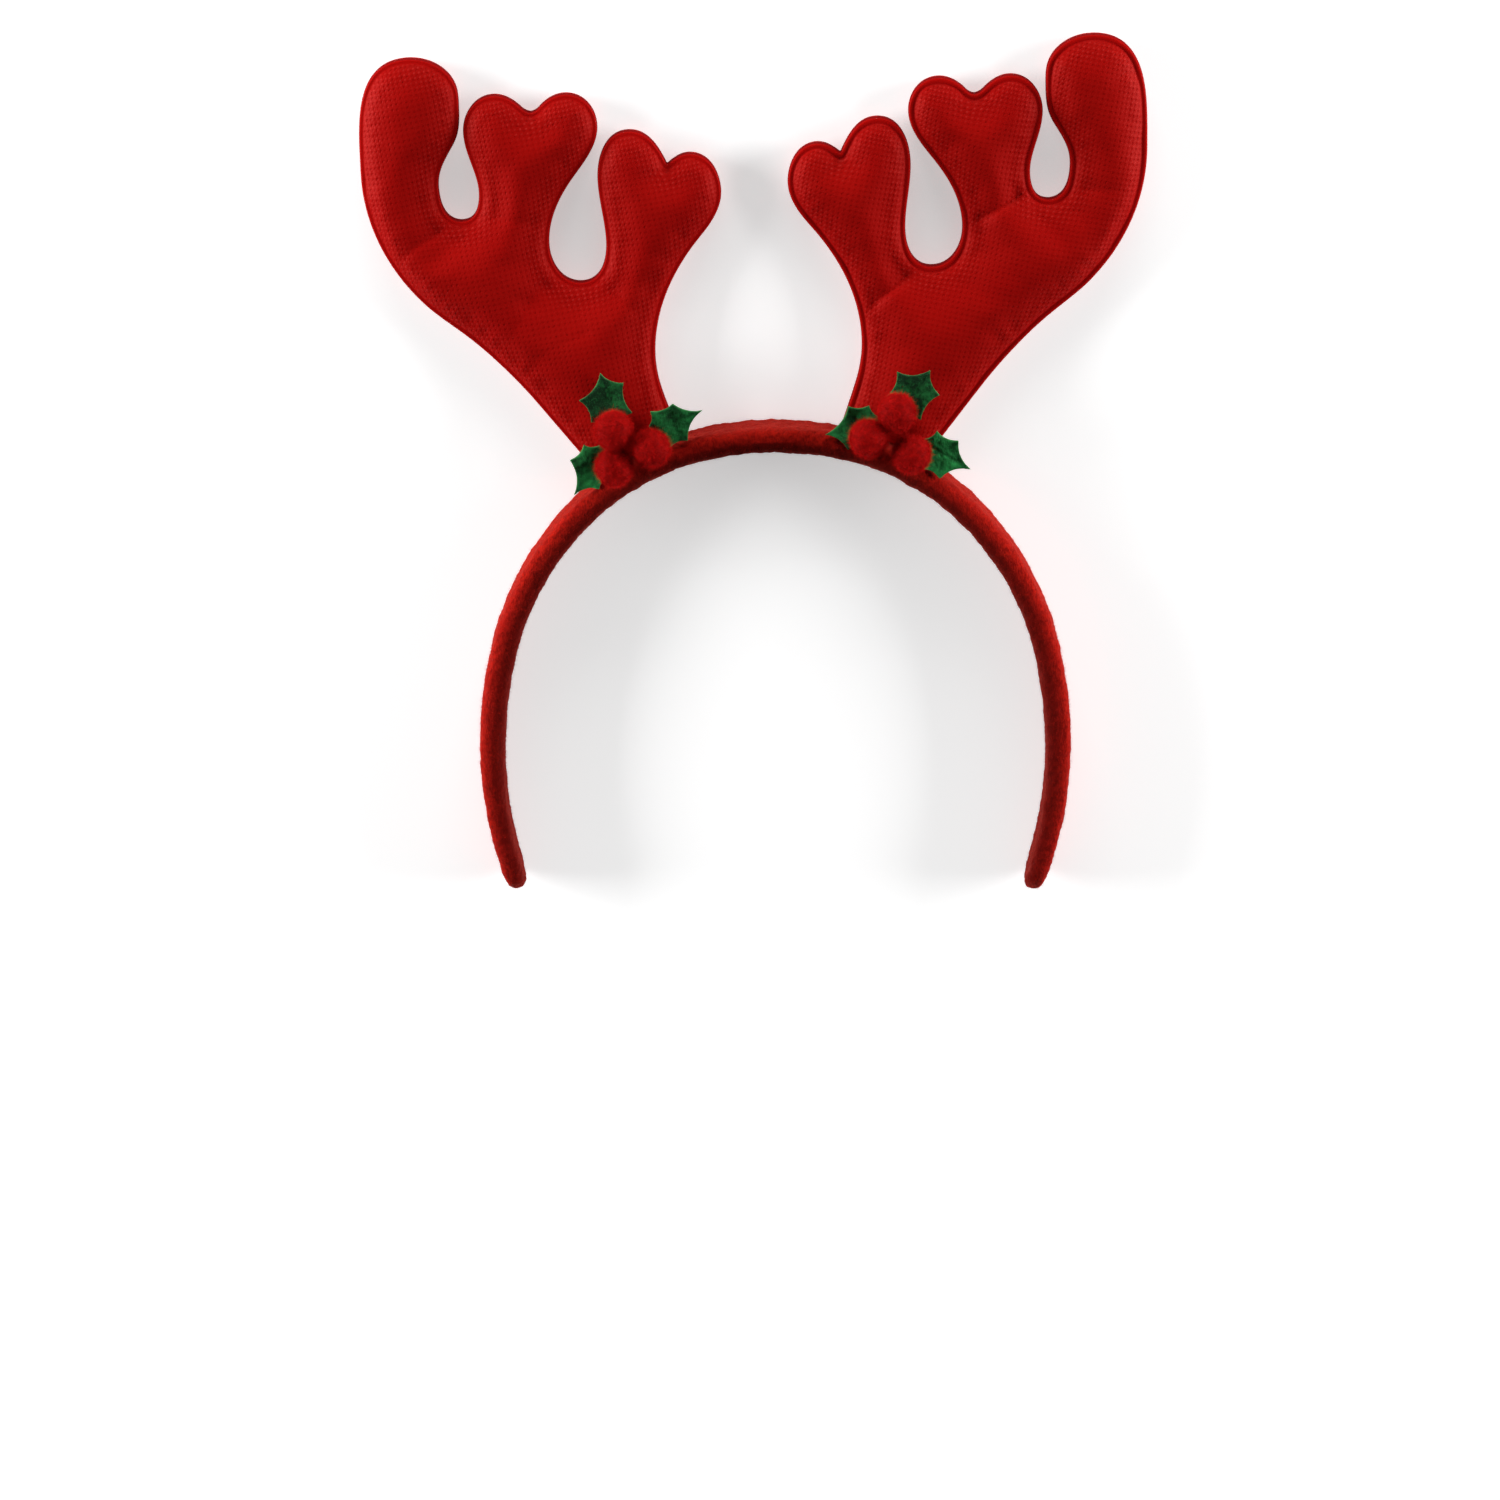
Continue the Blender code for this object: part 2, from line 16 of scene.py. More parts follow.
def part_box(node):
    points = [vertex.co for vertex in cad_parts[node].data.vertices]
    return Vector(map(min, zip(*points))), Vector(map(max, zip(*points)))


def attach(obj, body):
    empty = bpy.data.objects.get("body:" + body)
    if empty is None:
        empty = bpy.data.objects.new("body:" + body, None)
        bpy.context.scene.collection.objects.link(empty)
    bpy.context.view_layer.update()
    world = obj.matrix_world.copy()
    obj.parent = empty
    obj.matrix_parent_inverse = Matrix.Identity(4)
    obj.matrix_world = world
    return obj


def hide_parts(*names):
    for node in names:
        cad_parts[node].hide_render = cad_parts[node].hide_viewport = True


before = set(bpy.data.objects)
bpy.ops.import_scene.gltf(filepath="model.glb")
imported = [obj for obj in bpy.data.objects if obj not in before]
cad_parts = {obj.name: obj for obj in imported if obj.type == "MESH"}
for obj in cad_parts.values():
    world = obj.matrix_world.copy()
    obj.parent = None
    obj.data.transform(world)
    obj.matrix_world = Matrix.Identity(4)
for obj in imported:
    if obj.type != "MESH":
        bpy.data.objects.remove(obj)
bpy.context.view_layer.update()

# Camera: what it looks at, from how far, and how many degrees it stands from straight above
# towards the antlers' tips
CAMERA_AIM = Vector((-0.0070, -0.0894, 0.007))
CAMERA_DISTANCE = 1.5
CAMERA_TILT = 18.7
CAMERA_LENS = 130.9
SENSOR_WIDTH = 36.0

# Outlines: a corner sharper than the first angle stays sharp, and a row of points fans out round
# an inward corner sharper than the second, in degrees
CORNER_ANGLE = 50
FAN_ANGLE = 15

# Flat meshes: how directly a triangle faces the viewer to be on the front, how much of its
# distance a row keeps from the whole outline, and how many steps the inner grid stays off the
# last row
FRONT_FACING = 0.2
ROW_KEEP = 0.95
GRID_CLEAR = 0.55

# Smallest sizes that count: between two points, from the outline, and in a division
ONE_POINT = 1e-8
ON_EDGE = 1e-6
TINY = 1e-12

# Random fields: what carries the noise to about -1 to 1, and how far a seed moves its place.
# What is uneven below has a row of its own: height, size of its waves, and seed.
NOISE_GAIN = 1.6
SEED_SHIFT = (7.31, 3.17, 5.73)

# Antlers: spacing of the mesh, and how far in its rows along the outline lie
LOOP_STEP = 0.00065
GRID_STEP = 0.0007
RIM_ROWS = (
    0.00012, 0.0003, 0.0006, 0.0010, 0.00135, 0.0016,
    0.00185, 0.0021, 0.0024, 0.0028, 0.0033, 0.0039,
)
LEAST_THICKNESS = 0.00005

# Welded rim: how far its edge is rounded and to what share of its thickness, how far in it
# reaches, how uneven that is, and where the material turns from rim to padding and from edge to rim
RIM_ROUND = 0.0005
RIM_EDGE_SHARE = 0.45
RIM_REACH = {"left": 0.0011, "right": 0.0015}
RIM_UNEVEN = (0.00015, 0.006, 13)
RIM_BLEND = (-0.0002, 0.0007)
EDGE_BLEND = (0.00005, 0.00028)

# Groove that the weld presses in behind the rim; the knit there is darker as a painted shade
GROOVE_WIDTH = 0.00028
GROOVE_DEPTH = 0.00014
GROOVE_SHARE = {"left": 0.22, "right": 0.65}
GROOVE_UNEVEN = (0.2, 0.009, 17)

# Padding: over what distance it rises, its puckers along the rim, and its uneven stuffing
PAD_RISE = 0.0115
PUCKERS = (0.0001, 0.003, 11)
PUCKER_PLACE = 0.0045
PUCKER_REACH = 0.0026
STUFFING_FRONT = ((0.00015, 0.015, 5), (0.00005, 0.005, 6))
STUFFING_BACK = ((0.0002, 0.013, 8),)

# Between which distances from the outline the stuffing, the cloth run, its smoothing and the
# creases set in, and the padding's flank ends
STUFFING_FADE = (0.002, 0.008)
CLOTH_FADE = (0.002, 0.0065)
SMOOTH_FADE = (0.004, 0.007)
CREASE_FADE = (0.0014, 0.0055)
FLANK_FADE = (0.0030, 0.0095)
SMOOTH_ROUNDS = 12

# Cloth run that puffs the padding: mesh spacing, how much larger it is run, frames, quality,
# pressure, stiffness, spare cloth, how far past the rim it is held, the share of the rise that it
# starts from, and how far past the solid it may swell
CLOTH_STEP = 0.0018
CLOTH_SCALE = 10.0
CLOTH_FRAMES = 20
CLOTH_QUALITY = 5
CLOTH_PRESSURE = 4.0
CLOTH_MASS = 0.2
CLOTH_STRETCH = 20
CLOTH_SHEAR = 8
CLOTH_BENDING = 0.5
CLOTH_SPARE = 0.02
CLOTH_HELD = 0.0002
CLOTH_START = 0.8
CLOTH_CAP = 0.0012

# Carrying the run's result to the fine mesh: from how many coarse points, and how their weight
# falls with distance
CARRY_POINTS = 5
CARRY_NEAR = 0.0003
CARRY_FALL = 3

# Knit: pitch of its small pits, how far its columns lean outwards, and the cloth that the
# padding's flank takes up
KNIT_PITCH = 0.00145
KNIT_LEAN = 11.0
KNIT_TAKE_UP = 0.0019

# The lattice of the knit is a sum of waves: the weight of the rows and of the slant against the
# columns, how far the columns wander, and between which sums pits and threads set in
KNIT_ROWS = 0.8
KNIT_SLANT = 0.5
KNIT_WANDER = 0.5
KNIT_WANDER_SIZE = 0.006
PIT_SUMS = (0.1, 2.3)
THREAD_SUMS = (0.7, 2.3)

# How weak the weakest pits and threads are, how both show on the top and on the flank of the
# padding, and how much of them the welded rim hides. The pale threads are a painted highlight,
# and the dark pits are partly the knit's own dots and partly painted shade.
KNIT_WEAKEST = 0.45
KNIT_UNEVEN_SIZE = 0.0022
PITS_SHOW = (0.55, 0.62)
THREAD_HIGHLIGHT_SHOW = (0.15, 1.0)
RIM_HIDES = 0.85

# Creases of the padding: antler, name, start and end as shares of the antler's box, depth of
# the valley, and how far the surface slopes down to it from below and from above
CREASES = (
    ("antler_left", "tine root", 0.262, 0.620, 0.125, 0.540, 0.0012, 0.0018, 0.0040),
    ("antler_left", "between the notches", 0.325, 0.635, 0.500, 0.615, 0.0004, 0.0018, 0.0024),
    ("antler_left", "wide notch, outer side", 0.545, 0.485, 0.455, 0.425, 0.0005, 0.0030, 0.0040),
    ("antler_left", "stem fold", 0.460, 0.425, 0.410, 0.330, 0.0005, 0.0030, 0.0045),
    ("antler_left", "low heart root", 0.672, 0.470, 0.745, 0.417, 0.0007, 0.0014, 0.0024),
    ("antler_left", "stem dent", 0.615, 0.360, 0.490, 0.300, 0.0004, 0.0030, 0.0035),
    ("antler_right", "low heart root", 0.378, 0.474, 0.225, 0.362, 0.0016, 0.0014, 0.0034),
    ("antler_right", "tall heart root", 0.680, 0.650, 0.508, 0.562, 0.0016, 0.0014, 0.0028),
    ("antler_right", "tine root", 0.800, 0.643, 0.930, 0.646, 0.0005, 0.0018, 0.0024),
    ("antler_right", "wide notch, outer side", 0.500, 0.560, 0.600, 0.518, 0.0004, 0.0016, 0.0016),
    ("antler_right", "tine dent", 0.735, 0.875, 0.775, 0.775, 0.0004, 0.0026, 0.0030),
)

# How blunt a crease's valley is, how it wanders, how far it runs out past its ends, and how much
# shallower it gets after a share of its length
CREASE_BLUNT = 0.0003
CREASE_WANDER = (0.0004, 0.007, 31)
CREASE_END = 0.0025
CREASE_TAPER = 0.5
CREASE_TAPER_FROM = 0.35

# Band: spacing and smoothing of its mesh, how uneven its felt is, and the middle of its bow
BAND_VOXEL = 0.0007
BAND_SMOOTH_ROUNDS = 8
BAND_SMOOTH_WEIGHTS = (0.5, -0.52)
BAND_LUMPS = (0.00017, 0.0045, 2)
BAND_GRAIN = (0.00013, 0.0012, 3)
BAND_MIDDLE = (0.0, -0.07)

# How directly a spot of the band faces inwards to carry the seam, and to be darker as a painted shade
SEAM_FACING = (0.5, 0.9)
INWARD_SHADE_FACING = (-0.85, 0.75)

# Seam along the band's inner side, with one edge of the felt laid over the other
SEAM_HEIGHT = 0.0062
SEAM_WIDTH = 0.0004
SEAM_DEPTH = 0.0004
SEAM_WANDER = (0.0004, 0.02, 9)
SEAM_LIP = 0.00025
SEAM_LIP_REACH = 0.004

# Leaves: spacing of the mesh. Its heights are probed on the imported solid, a little inside the
# outline, from above and below, or else taken from the nearest point, and then smoothed.
LEAF_STEP = 0.00035
LEAF_ROWS = (0.0001, 0.0003, 0.0006)
PROBE_INSIDE = 0.0002
PROBE_HEIGHT = 0.1
LEAF_LEVEL = 0.0125
LEAF_SMOOTHING = 0.8
LEAF_SMOOTH_ROUNDS = 12

# Veins of a leaf, its grain, waves, curl and bevelled edge, and how light its green is
VEIN_WIDTH = 0.0006
VEIN_DEPTH = 0.00032
VEIN_TAPER = 0.6
SIDE_VEIN_RANGE = (0.1, 0.95)
SIDE_VEIN_SWEEP = 0.45
SIDE_VEIN_SHARE = 0.7
LEAF_GRAIN = (0.00009, 0.0009, 1)
LEAF_WAVE = (0.00055, 0.005, 0)
LEAF_WAVE_LEAST = -0.0001
LEAF_CURL = 0.0009
LEAF_CURL_RANGE = (0.5, 1.05)
LEAF_BEVEL = 0.00012
LEAF_BEVEL_WIDTH = 0.0003
# Where the pale cut edge, a painted highlight, sets in
LEAF_EDGE_BLEND = (0.00002, 0.0002)
LEAF_PATCH = (0.22, 0.0045, 5)
LEAF_TONE = {
    "left": {"upper": 0.13, "inner": 0.46, "lower": 0.47},
    "right": {"upper": 0.18, "inner": 0.43, "lower": 0.60},
}

# Loose fibres of the felt: how many, their lengths and width, how far they lean outwards and
# astray, and how deep their roots lie
BAND_FIBRES = (30000, (0.0004, 0.0012), 0.00004, (0.55, 0.85), 0.00005)
LEAF_FIBRES = (1100, (0.0002, 0.0006), 0.000035, (0.25, 0.9), 0.0)
FELT_FIBRE_BEND = 0.6
FLOOR_CLEAR = 0.00002

# Every fibre is a ribbon of so many parts, which narrows by this share and ends in a point
RIBBON_PARTS = 2
RIBBON_TAPER = 0.75

# Pompoms: a core as a share of the radius, its lumps, and the cut ends of the fibres, some of
# them stray and longer
CORE_SHARE = 0.86
CORE_LUMPS = ((0.00018, 0.0028, 0), (0.00008, 0.0009, 1))
CORE_DIVISIONS = 5
PILE_FIBRES = 17000
PILE_LENGTH = 0.00135
PILE_SPREAD = (0.55, 1.1)
PILE_WIDTH = 0.000045
PILE_LEAN = (0.9, 0.75)
PILE_LEAST = 0.1
PILE_BEND = 0.45
PILE_ROOT = 0.0002
STRAY_SHARE = 0.07
STRAY_LENGTH = 1.6

# Colours
KNIT_FACE = (0.298, 0.0033, 0.0024)
# Dark pits: partly the knit's own dots, partly painted shade in their hollows
KNIT_PIT = (0.178, 0.0012, 0.0009)
KNIT_PATCH = (0.26, 0.0014, 0.0014)
# Pale threads on the flanks: a painted highlight
KNIT_THREAD_HIGHLIGHT = (0.50, 0.036, 0.030)
KNIT_RIM = (0.40, 0.0028, 0.0022)
# Darker knit in the groove behind the rim: painted shade
KNIT_GROOVE_SHADE = (0.13, 0.0012, 0.0015)
KNIT_EDGE = (0.06, 0.001, 0.002)
# Felt mottling, darker where its bump is low: painted shade in the small hollows
FELT_HOLLOW_SHADE = (0.15, 0.002, 0.0012)
FELT_FACE = (0.34, 0.007, 0.003)
FELT_PATCH = (0.22, 0.003, 0.002)
# Painted shade on the inner side of the band
FELT_INWARD_SHADE = (0.045, 0.0012, 0.0010)
LEAF_DARK = (0.003, 0.021, 0.006)
LEAF_LIGHT = (0.017, 0.225, 0.050)
# Darker colour in the pressed veins: painted shade
LEAF_VEIN_SHADE = (0.002, 0.02, 0.006)
# Pale cut edge of a leaf: a painted highlight
LEAF_CUT_HIGHLIGHT = (0.06, 0.20, 0.06)
FLOOR_PAINT = (0.8, 0.8, 0.8, 1.0)
WHITE = (1.0, 1.0, 1.0, 1.0)

# Loose fibres and pompoms: darkest and lightest colour, and the weight and tint of their sheen.
# A pompom's core is darker than its pile: a painted shade deep in the pompom.
FUZZ = {
    "felt_red_fibres": ((0.26, 0.004, 0.002), (0.44, 0.012, 0.006), 0.15, (1.0, 0.15, 0.1)),
    "pompom_red_pile": ((0.38, 0.0017, 0.0012), (0.57, 0.0045, 0.0034), 0.06, (1.0, 0.04, 0.03)),
    # The core under the pile: painted shade
    "pompom_core_shade": ((0.23, 0.0012, 0.0011), (0.34, 0.0022, 0.0017), 0.06, (1.0, 0.04, 0.03)),
    "felt_green_fibres": ((0.010, 0.10, 0.035), (0.05, 0.24, 0.09), 0.15, (0.6, 1.0, 0.6)),
}

# Studio: soft lights low on both sides and beyond the antlers' tips (name, azimuth, distance,
# width, height, power), and how high they stand in degrees
SOFTBOXES = (
    ("softbox_left", 172, 1.1, 0.7, 0.36, 21.5),
    ("softbox_right", 8, 1.1, 0.7, 0.36, 18.5),
    ("softbox_top", 90, 2.2, 1.5, 0.8, 34.0),
)
SOFTBOX_ELEVATION = 13

# Walls all round: between which heights their glow changes, and from what at the horizon to what
# overhead; and, from -Y towards +Y, between which directions and shares of it they brighten
WALL_HEIGHTS = (0.05, 0.6)
WALL_GLOW = (1.3, 0.58)
WALL_DIRECTIONS = (-0.9, 0.1)
WALL_SHARES = (0.35, 1.0)

# Floor: half its width, how far under the headband it lies, and its own glow
FLOOR_REACH = 4.0
FLOOR_DROP = 0.0001
FLOOR_GLOW = 0.5

SIDES = ("left", "right")
SPRIG_PARTS = ("upper", "inner", "lower")
BAND_SEED = 71
LEAF_SEED = 100
BERRY_SEED = 200
SEED_STEP = 10


def unit(rows):
    """Rows of vectors, each made one long."""
    return rows / np.maximum(np.linalg.norm(rows, axis=-1, keepdims=True), TINY)


def ease(values, low, high):
    """0 at low, 1 at high, smooth between."""
    share = np.clip((values - low) / (high - low), 0, 1)
    return share * share * (3 - 2 * share)


def field(points, size, seed):
    """Smooth random values, about -1 to 1, that change over the given size."""
    rows = np.asarray(points, float) / size
    if rows.shape[1] == 2:
        rows = np.column_stack([rows, np.zeros(len(rows))])
    rows = rows + seed * np.array(SEED_SHIFT)
    return np.array([noise.noise(Vector(row)) for row in rows]) * NOISE_GAIN


def uneven(points, height, size, seed, first=0):
    """Smooth random values, about -1 to 1 times a height."""
    return height * field(points, size, first + seed)


def dips(points, *waves):
    """The sum of some uneven rows, each less its height, so that it is mostly below 0."""
    return sum(height * (field(points, size, seed) - 1) for height, size, seed in waves)


def tree_of(points):
    """A search tree of points; flat ones are at height 0."""
    tree = KDTree(len(points))
    for k, point in enumerate(points):
        tree.insert((*point, 0)[:3], k)
    tree.balance()
    return tree


def arrays_of(mesh):
    """A mesh's points and triangles."""
    mesh.calc_loop_triangles()
    points = np.empty(3 * len(mesh.vertices), np.float32)
    mesh.vertices.foreach_get("co", points)
    triangles = np.empty(3 * len(mesh.loop_triangles), np.int32)
    mesh.loop_triangles.foreach_get("vertices", triangles)
    return points.reshape(-1, 3), triangles.reshape(-1, 3)


def node_mesh(name):
    """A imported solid's points, joined where they meet, and its triangles."""
    points, triangles = arrays_of(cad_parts[name].data)
    points, same = np.unique(points, axis=0, return_inverse=True)
    return points.astype(float), same.ravel()[triangles]


def edges_of(triangles):
    """The three edges of each triangle, as pairs of points in its own order."""
    return np.vstack([triangles[:, [k, (k + 1) % 3]] for k in range(3)])


def normals_of(points, triangles):
    """Unit normal of each triangle."""
    a, b, c = points[triangles.T]
    return unit(np.cross(b - a, c - a))


def point_normals(points, triangles):
    """Unit normal at each point, from the triangles round it."""
    facing = normals_of(points, triangles)
    made = np.zeros_like(points)
    for k in range(3):
        for axis in range(3):
            made[:, axis] += np.bincount(triangles[:, k], facing[:, axis], len(points))
    return unit(made)


def sheet_loop(points, triangles):
    """Indices of the points round the front of a flat solid, anticlockwise."""
    front = triangles[normals_of(points, triangles)[:, 2] > FRONT_FACING]
    known = {(a, b) for a, b in edges_of(front).tolist()}
    following = {a: b for a, b in known if (b, a) not in known}
    start = min(following)
    loop = [start]
    while following[loop[-1]] != start:
        loop.append(following[loop[-1]])
    return np.array(loop)


def smooth_loop(loop, step):
    """An even closed line through a loop's points, and those of them that stay sharp corners."""
    ahead = np.roll(loop, -1, axis=0) - loop
    chord = np.linalg.norm(ahead, axis=1, keepdims=True)
    ahead = unit(ahead)
    behind = np.roll(ahead, 1, axis=0)
    before = np.roll(chord, 1, axis=0)
    tangent = (behind * chord + ahead * before) / (chord + before)
    corner = (ahead * behind).sum(1, keepdims=True) < cos(radians(CORNER_ANGLE))
    leave = np.where(corner, ahead, tangent)
    arrive = np.where(corner, behind, tangent)
    made = []
    for k in range(len(loop)):
        after = (k + 1) % len(loop)
        count = max(1, ceil(chord[k, 0] / step))
        t = (np.arange(count) / count)[:, None]
        made.append(
            (2 * t**3 - 3 * t**2 + 1) * loop[k]
            + (t**3 - 2 * t**2 + t) * leave[k] * chord[k]
            + (3 * t**2 - 2 * t**3) * loop[after]
            + (t**3 - t**2) * arrive[after] * chord[k]
        )
    return np.vstack(made), loop[corner[:, 0]]


def nearest_on(loop, spots):
    """For each spot: how far a closed line is, and its nearest point."""
    tree = tree_of(loop)
    found = np.array([tree.find((x, y, 0))[1] for x, y in spots])
    best = np.full(len(spots), np.inf)
    near = np.zeros((len(spots), 2))
    for shift in (-1, 0):
        start = loop[(found + shift) % len(loop)]
        span = loop[(found + shift + 1) % len(loop)] - start
        share = ((spots - start) * span).sum(1) / np.maximum((span**2).sum(1), TINY)
        share = np.clip(share, 0, 1)
        foot = start + share[:, None] * span
        gap = np.linalg.norm(spots - foot, axis=1)
        closer = gap < best
        best[closer] = gap[closer]
        near[closer] = foot[closer]
    return best, near


def inside(spots, loop):
    """Whether each spot lies within a closed line."""
    after = np.roll(loop, -1, axis=0)
    x, y = spots[:, :1], spots[:, 1:]
    spans = (loop[:, 1] > y) != (after[:, 1] > y)
    rise = after[:, 1] - loop[:, 1]
    rise = np.where(np.abs(rise) < TINY, TINY, rise)
    meets = (after[:, 0] - loop[:, 0]) * (y - loop[:, 1]) / rise + loop[:, 0]
    return (spans & (x < meets)).sum(1) % 2 == 1


def edge_row(loop, reach, step):
    """Points a given way in from a closed line, fanned out round its inward corners."""
    ahead = unit(np.roll(loop, -1, axis=0) - loop)
    behind = np.roll(ahead, 1, axis=0)
    way = unit(ahead + behind)
    normal = np.column_stack([-way[:, 1], way[:, 0]])
    rows = [loop + normal * reach]
    turn = behind[:, 0] * ahead[:, 1] - behind[:, 1] * ahead[:, 0]
    for k in np.flatnonzero(turn < -sin(radians(FAN_ANGLE))):
        angle = acos(np.clip((ahead[k] * behind[k]).sum(), -1, 1))
        count = ceil(angle * reach / step)
        for share in (np.arange(1, count) / count - 0.5) * angle:
            turned = (
                normal[k, 0] * cos(share) - normal[k, 1] * sin(share),
                normal[k, 0] * sin(share) + normal[k, 1] * cos(share),
            )
            rows.append(loop[k : k + 1] + np.array([turned]) * reach)
    row = np.vstack(rows)
    away = nearest_on(loop, row)[0]
    return row[(away > ROW_KEEP * reach) & inside(row, loop)]


def fill(loop, rows, step):
    """Points and triangles that fill a closed line; its own points come first."""
    spots = [edge_row(loop, reach, step) for reach in rows]
    low, high = loop.min(0), loop.max(0)
    xs = np.arange(low[0], high[0], step)
    ys = np.arange(low[1], high[1], step * 3**0.5 / 2)
    grid = np.array([(x + (k % 2) * step / 2, y) for k, y in enumerate(ys) for x in xs])
    grid = grid[inside(grid, loop)]
    grid = grid[nearest_on(loop, grid)[0] > rows[-1] + GRID_CLEAR * step]
    points = np.vstack([loop] + spots + [grid])
    count = len(loop)
    edges = [(k, (k + 1) % count) for k in range(count)]
    made = delaunay_2d_cdt([Vector(p) for p in points], edges, [], 0, ONE_POINT, False)
    points = np.array([tuple(p) for p in made[0]])
    triangles = np.array(made[2])
    on_edge = (triangles < count).all(1)
    keep = np.ones(len(triangles), bool)
    keep[on_edge] = inside(points[triangles[on_edge]].mean(1), loop)
    return points, triangles[keep]


def relax(values, triangles, weight, rounds):
    """Values at points, moved towards the mean of their neighbours, by a weight for each."""
    pairs = np.unique(np.sort(edges_of(triangles), axis=1), axis=0)
    here = np.concatenate([pairs[:, 0], pairs[:, 1]])
    there = np.concatenate([pairs[:, 1], pairs[:, 0]])
    count = np.maximum(np.bincount(here, minlength=len(values)), 1)
    for _ in range(rounds):
        mean = np.bincount(here, values[there], len(values)) / count
        values = values + weight * (mean - values)
    return values


def closed_sheet(spots, sheet, front, back, border):
    """A front and a back over the same spots, with one border: points, faces, the back's order."""
    count = len(spots)
    lower = np.arange(count)
    lower[border:] = np.arange(count, 2 * count - border)
    points = np.vstack([np.column_stack([spots, front]), np.column_stack([spots, back])[border:]])
    return points, np.vstack([sheet, lower[sheet][:, ::-1]]), lower


def placed(name, data):
    """A new object in the scene."""
    made = bpy.data.objects.new(name, data)
    bpy.context.scene.collection.objects.link(made)
    return made


def new_piece(name, points, triangles, surface, nodes=(), attributes=()):
    """A shown piece from arrays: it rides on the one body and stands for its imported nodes."""
    mesh = bpy.data.meshes.new(name)
    mesh.vertices.add(len(points))
    mesh.vertices.foreach_set("co", np.asarray(points, np.float32).ravel())
    mesh.loops.add(3 * len(triangles))
    mesh.loops.foreach_set("vertex_index", np.asarray(triangles, np.int32).ravel())
    mesh.polygons.add(len(triangles))
    mesh.polygons.foreach_set("loop_start", np.arange(0, 3 * len(triangles), 3, dtype=np.int32))
    mesh.update(calc_edges=True)
    mesh.shade_smooth()
    for label, values in attributes:
        kind, field_name = ("FLOAT", "value") if values.ndim == 1 else ("FLOAT_VECTOR", "vector")
        made = mesh.attributes.new(label, kind, "POINT")
        made.data.foreach_set(field_name, np.asarray(values, np.float32).ravel())
    mesh.materials.append(surface)
    piece = placed(name, mesh)
    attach(piece, "root")
    if nodes:
        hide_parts(*nodes)
    return piece


class Graph:
    """A node tree while it is being put together."""

    def __init__(self, tree):
        self.tree = tree

    def feed(self, socket, value):
        """Give a socket a constant, or link another socket to it."""
        if isinstance(value, bpy.types.NodeSocket):
            self.tree.links.new(value, socket)
        else:
            socket.default_value = value

    def node(self, kind, **settings):
        made = self.tree.nodes.new("ShaderNode" + kind)
        for key, value in settings.items():
            setattr(made, key, value)
        return made

    def math(self, operation, *values):
        made = self.node("Math", operation=operation)
        for socket, value in zip(made.inputs, values):
            self.feed(socket, value)
        return made.outputs[0]

    def times(self, first, second):
        return self.math("MULTIPLY", first, second)

    def place(self, kind):
        return self.node("TexCoord").outputs[kind]

    def attribute(self, name, output="Fac"):
        return self.node("Attribute", attribute_name=name).outputs[output]

    def stretched(self, coordinates, scale, turn=0.0):
        """Coordinates turned about Z and multiplied along each axis."""
        made = self.node("Mapping")
        self.feed(made.inputs["Vector"], coordinates)
        made.inputs["Scale"].default_value = scale
        made.inputs["Rotation"].default_value = (0, 0, turn)
        return made.outputs[0]

    def cloud(self, coordinates, size, detail=2.0, roughness=0.5):
        """Smooth random values from 0 to 1 that change over the given size."""
        made = self.node("TexNoise")
        self.feed(made.inputs["Vector"], coordinates)
        made.inputs["Scale"].default_value = 1 / size
        made.inputs["Detail"].default_value = detail
        made.inputs["Roughness"].default_value = roughness
        return made.outputs["Fac"]

    def spread(self, value, low, high, to_low=0.0, to_high=1.0, change="SMOOTHSTEP"):
        """A value carried from one range to another, held at both ends."""
        made = self.node("MapRange", interpolation_type=change)
        for socket, given in zip(made.inputs, (value, low, high, to_low, to_high)):
            self.feed(socket, given)
        return made.outputs[0]

    def blend(self, factor, first, second):
        """A colour between two, each a colour or a socket."""
        made = self.node("Mix", data_type="RGBA")
        self.feed(made.inputs["Factor"], factor)
        for socket, colour in ((made.inputs["A"], first), (made.inputs["B"], second)):
            self.feed(socket, colour if isinstance(colour, bpy.types.NodeSocket) else (*colour, 1.0))
        return made.outputs["Result"]


class Surface(Graph):
    """A node material while it is being put together."""

    def __init__(self, name, roughness, specular):
        self.material = bpy.data.materials.new(name)
        self.material.use_nodes = True
        super().__init__(self.material.node_tree)
        self.set("Roughness", roughness)
        self.set("Specular IOR Level", specular)

    def set(self, socket, value):
        """Feed one of the shader's sockets."""
        self.feed(self.tree.nodes["Principled BSDF"].inputs[socket], value)

    def sheen(self, weight, roughness, tint):
        self.set("Sheen Weight", weight)
        self.set("Sheen Roughness", roughness)
        self.set("Sheen Tint", (*tint, 1.0))

    def bump(self, height, distance):
        """Tilt the surface as if it rose by its height times a distance."""
        made = self.node("Bump")
        self.feed(made.inputs["Height"], height)
        made.inputs["Distance"].default_value = distance
        self.set("Normal", made.outputs[0])


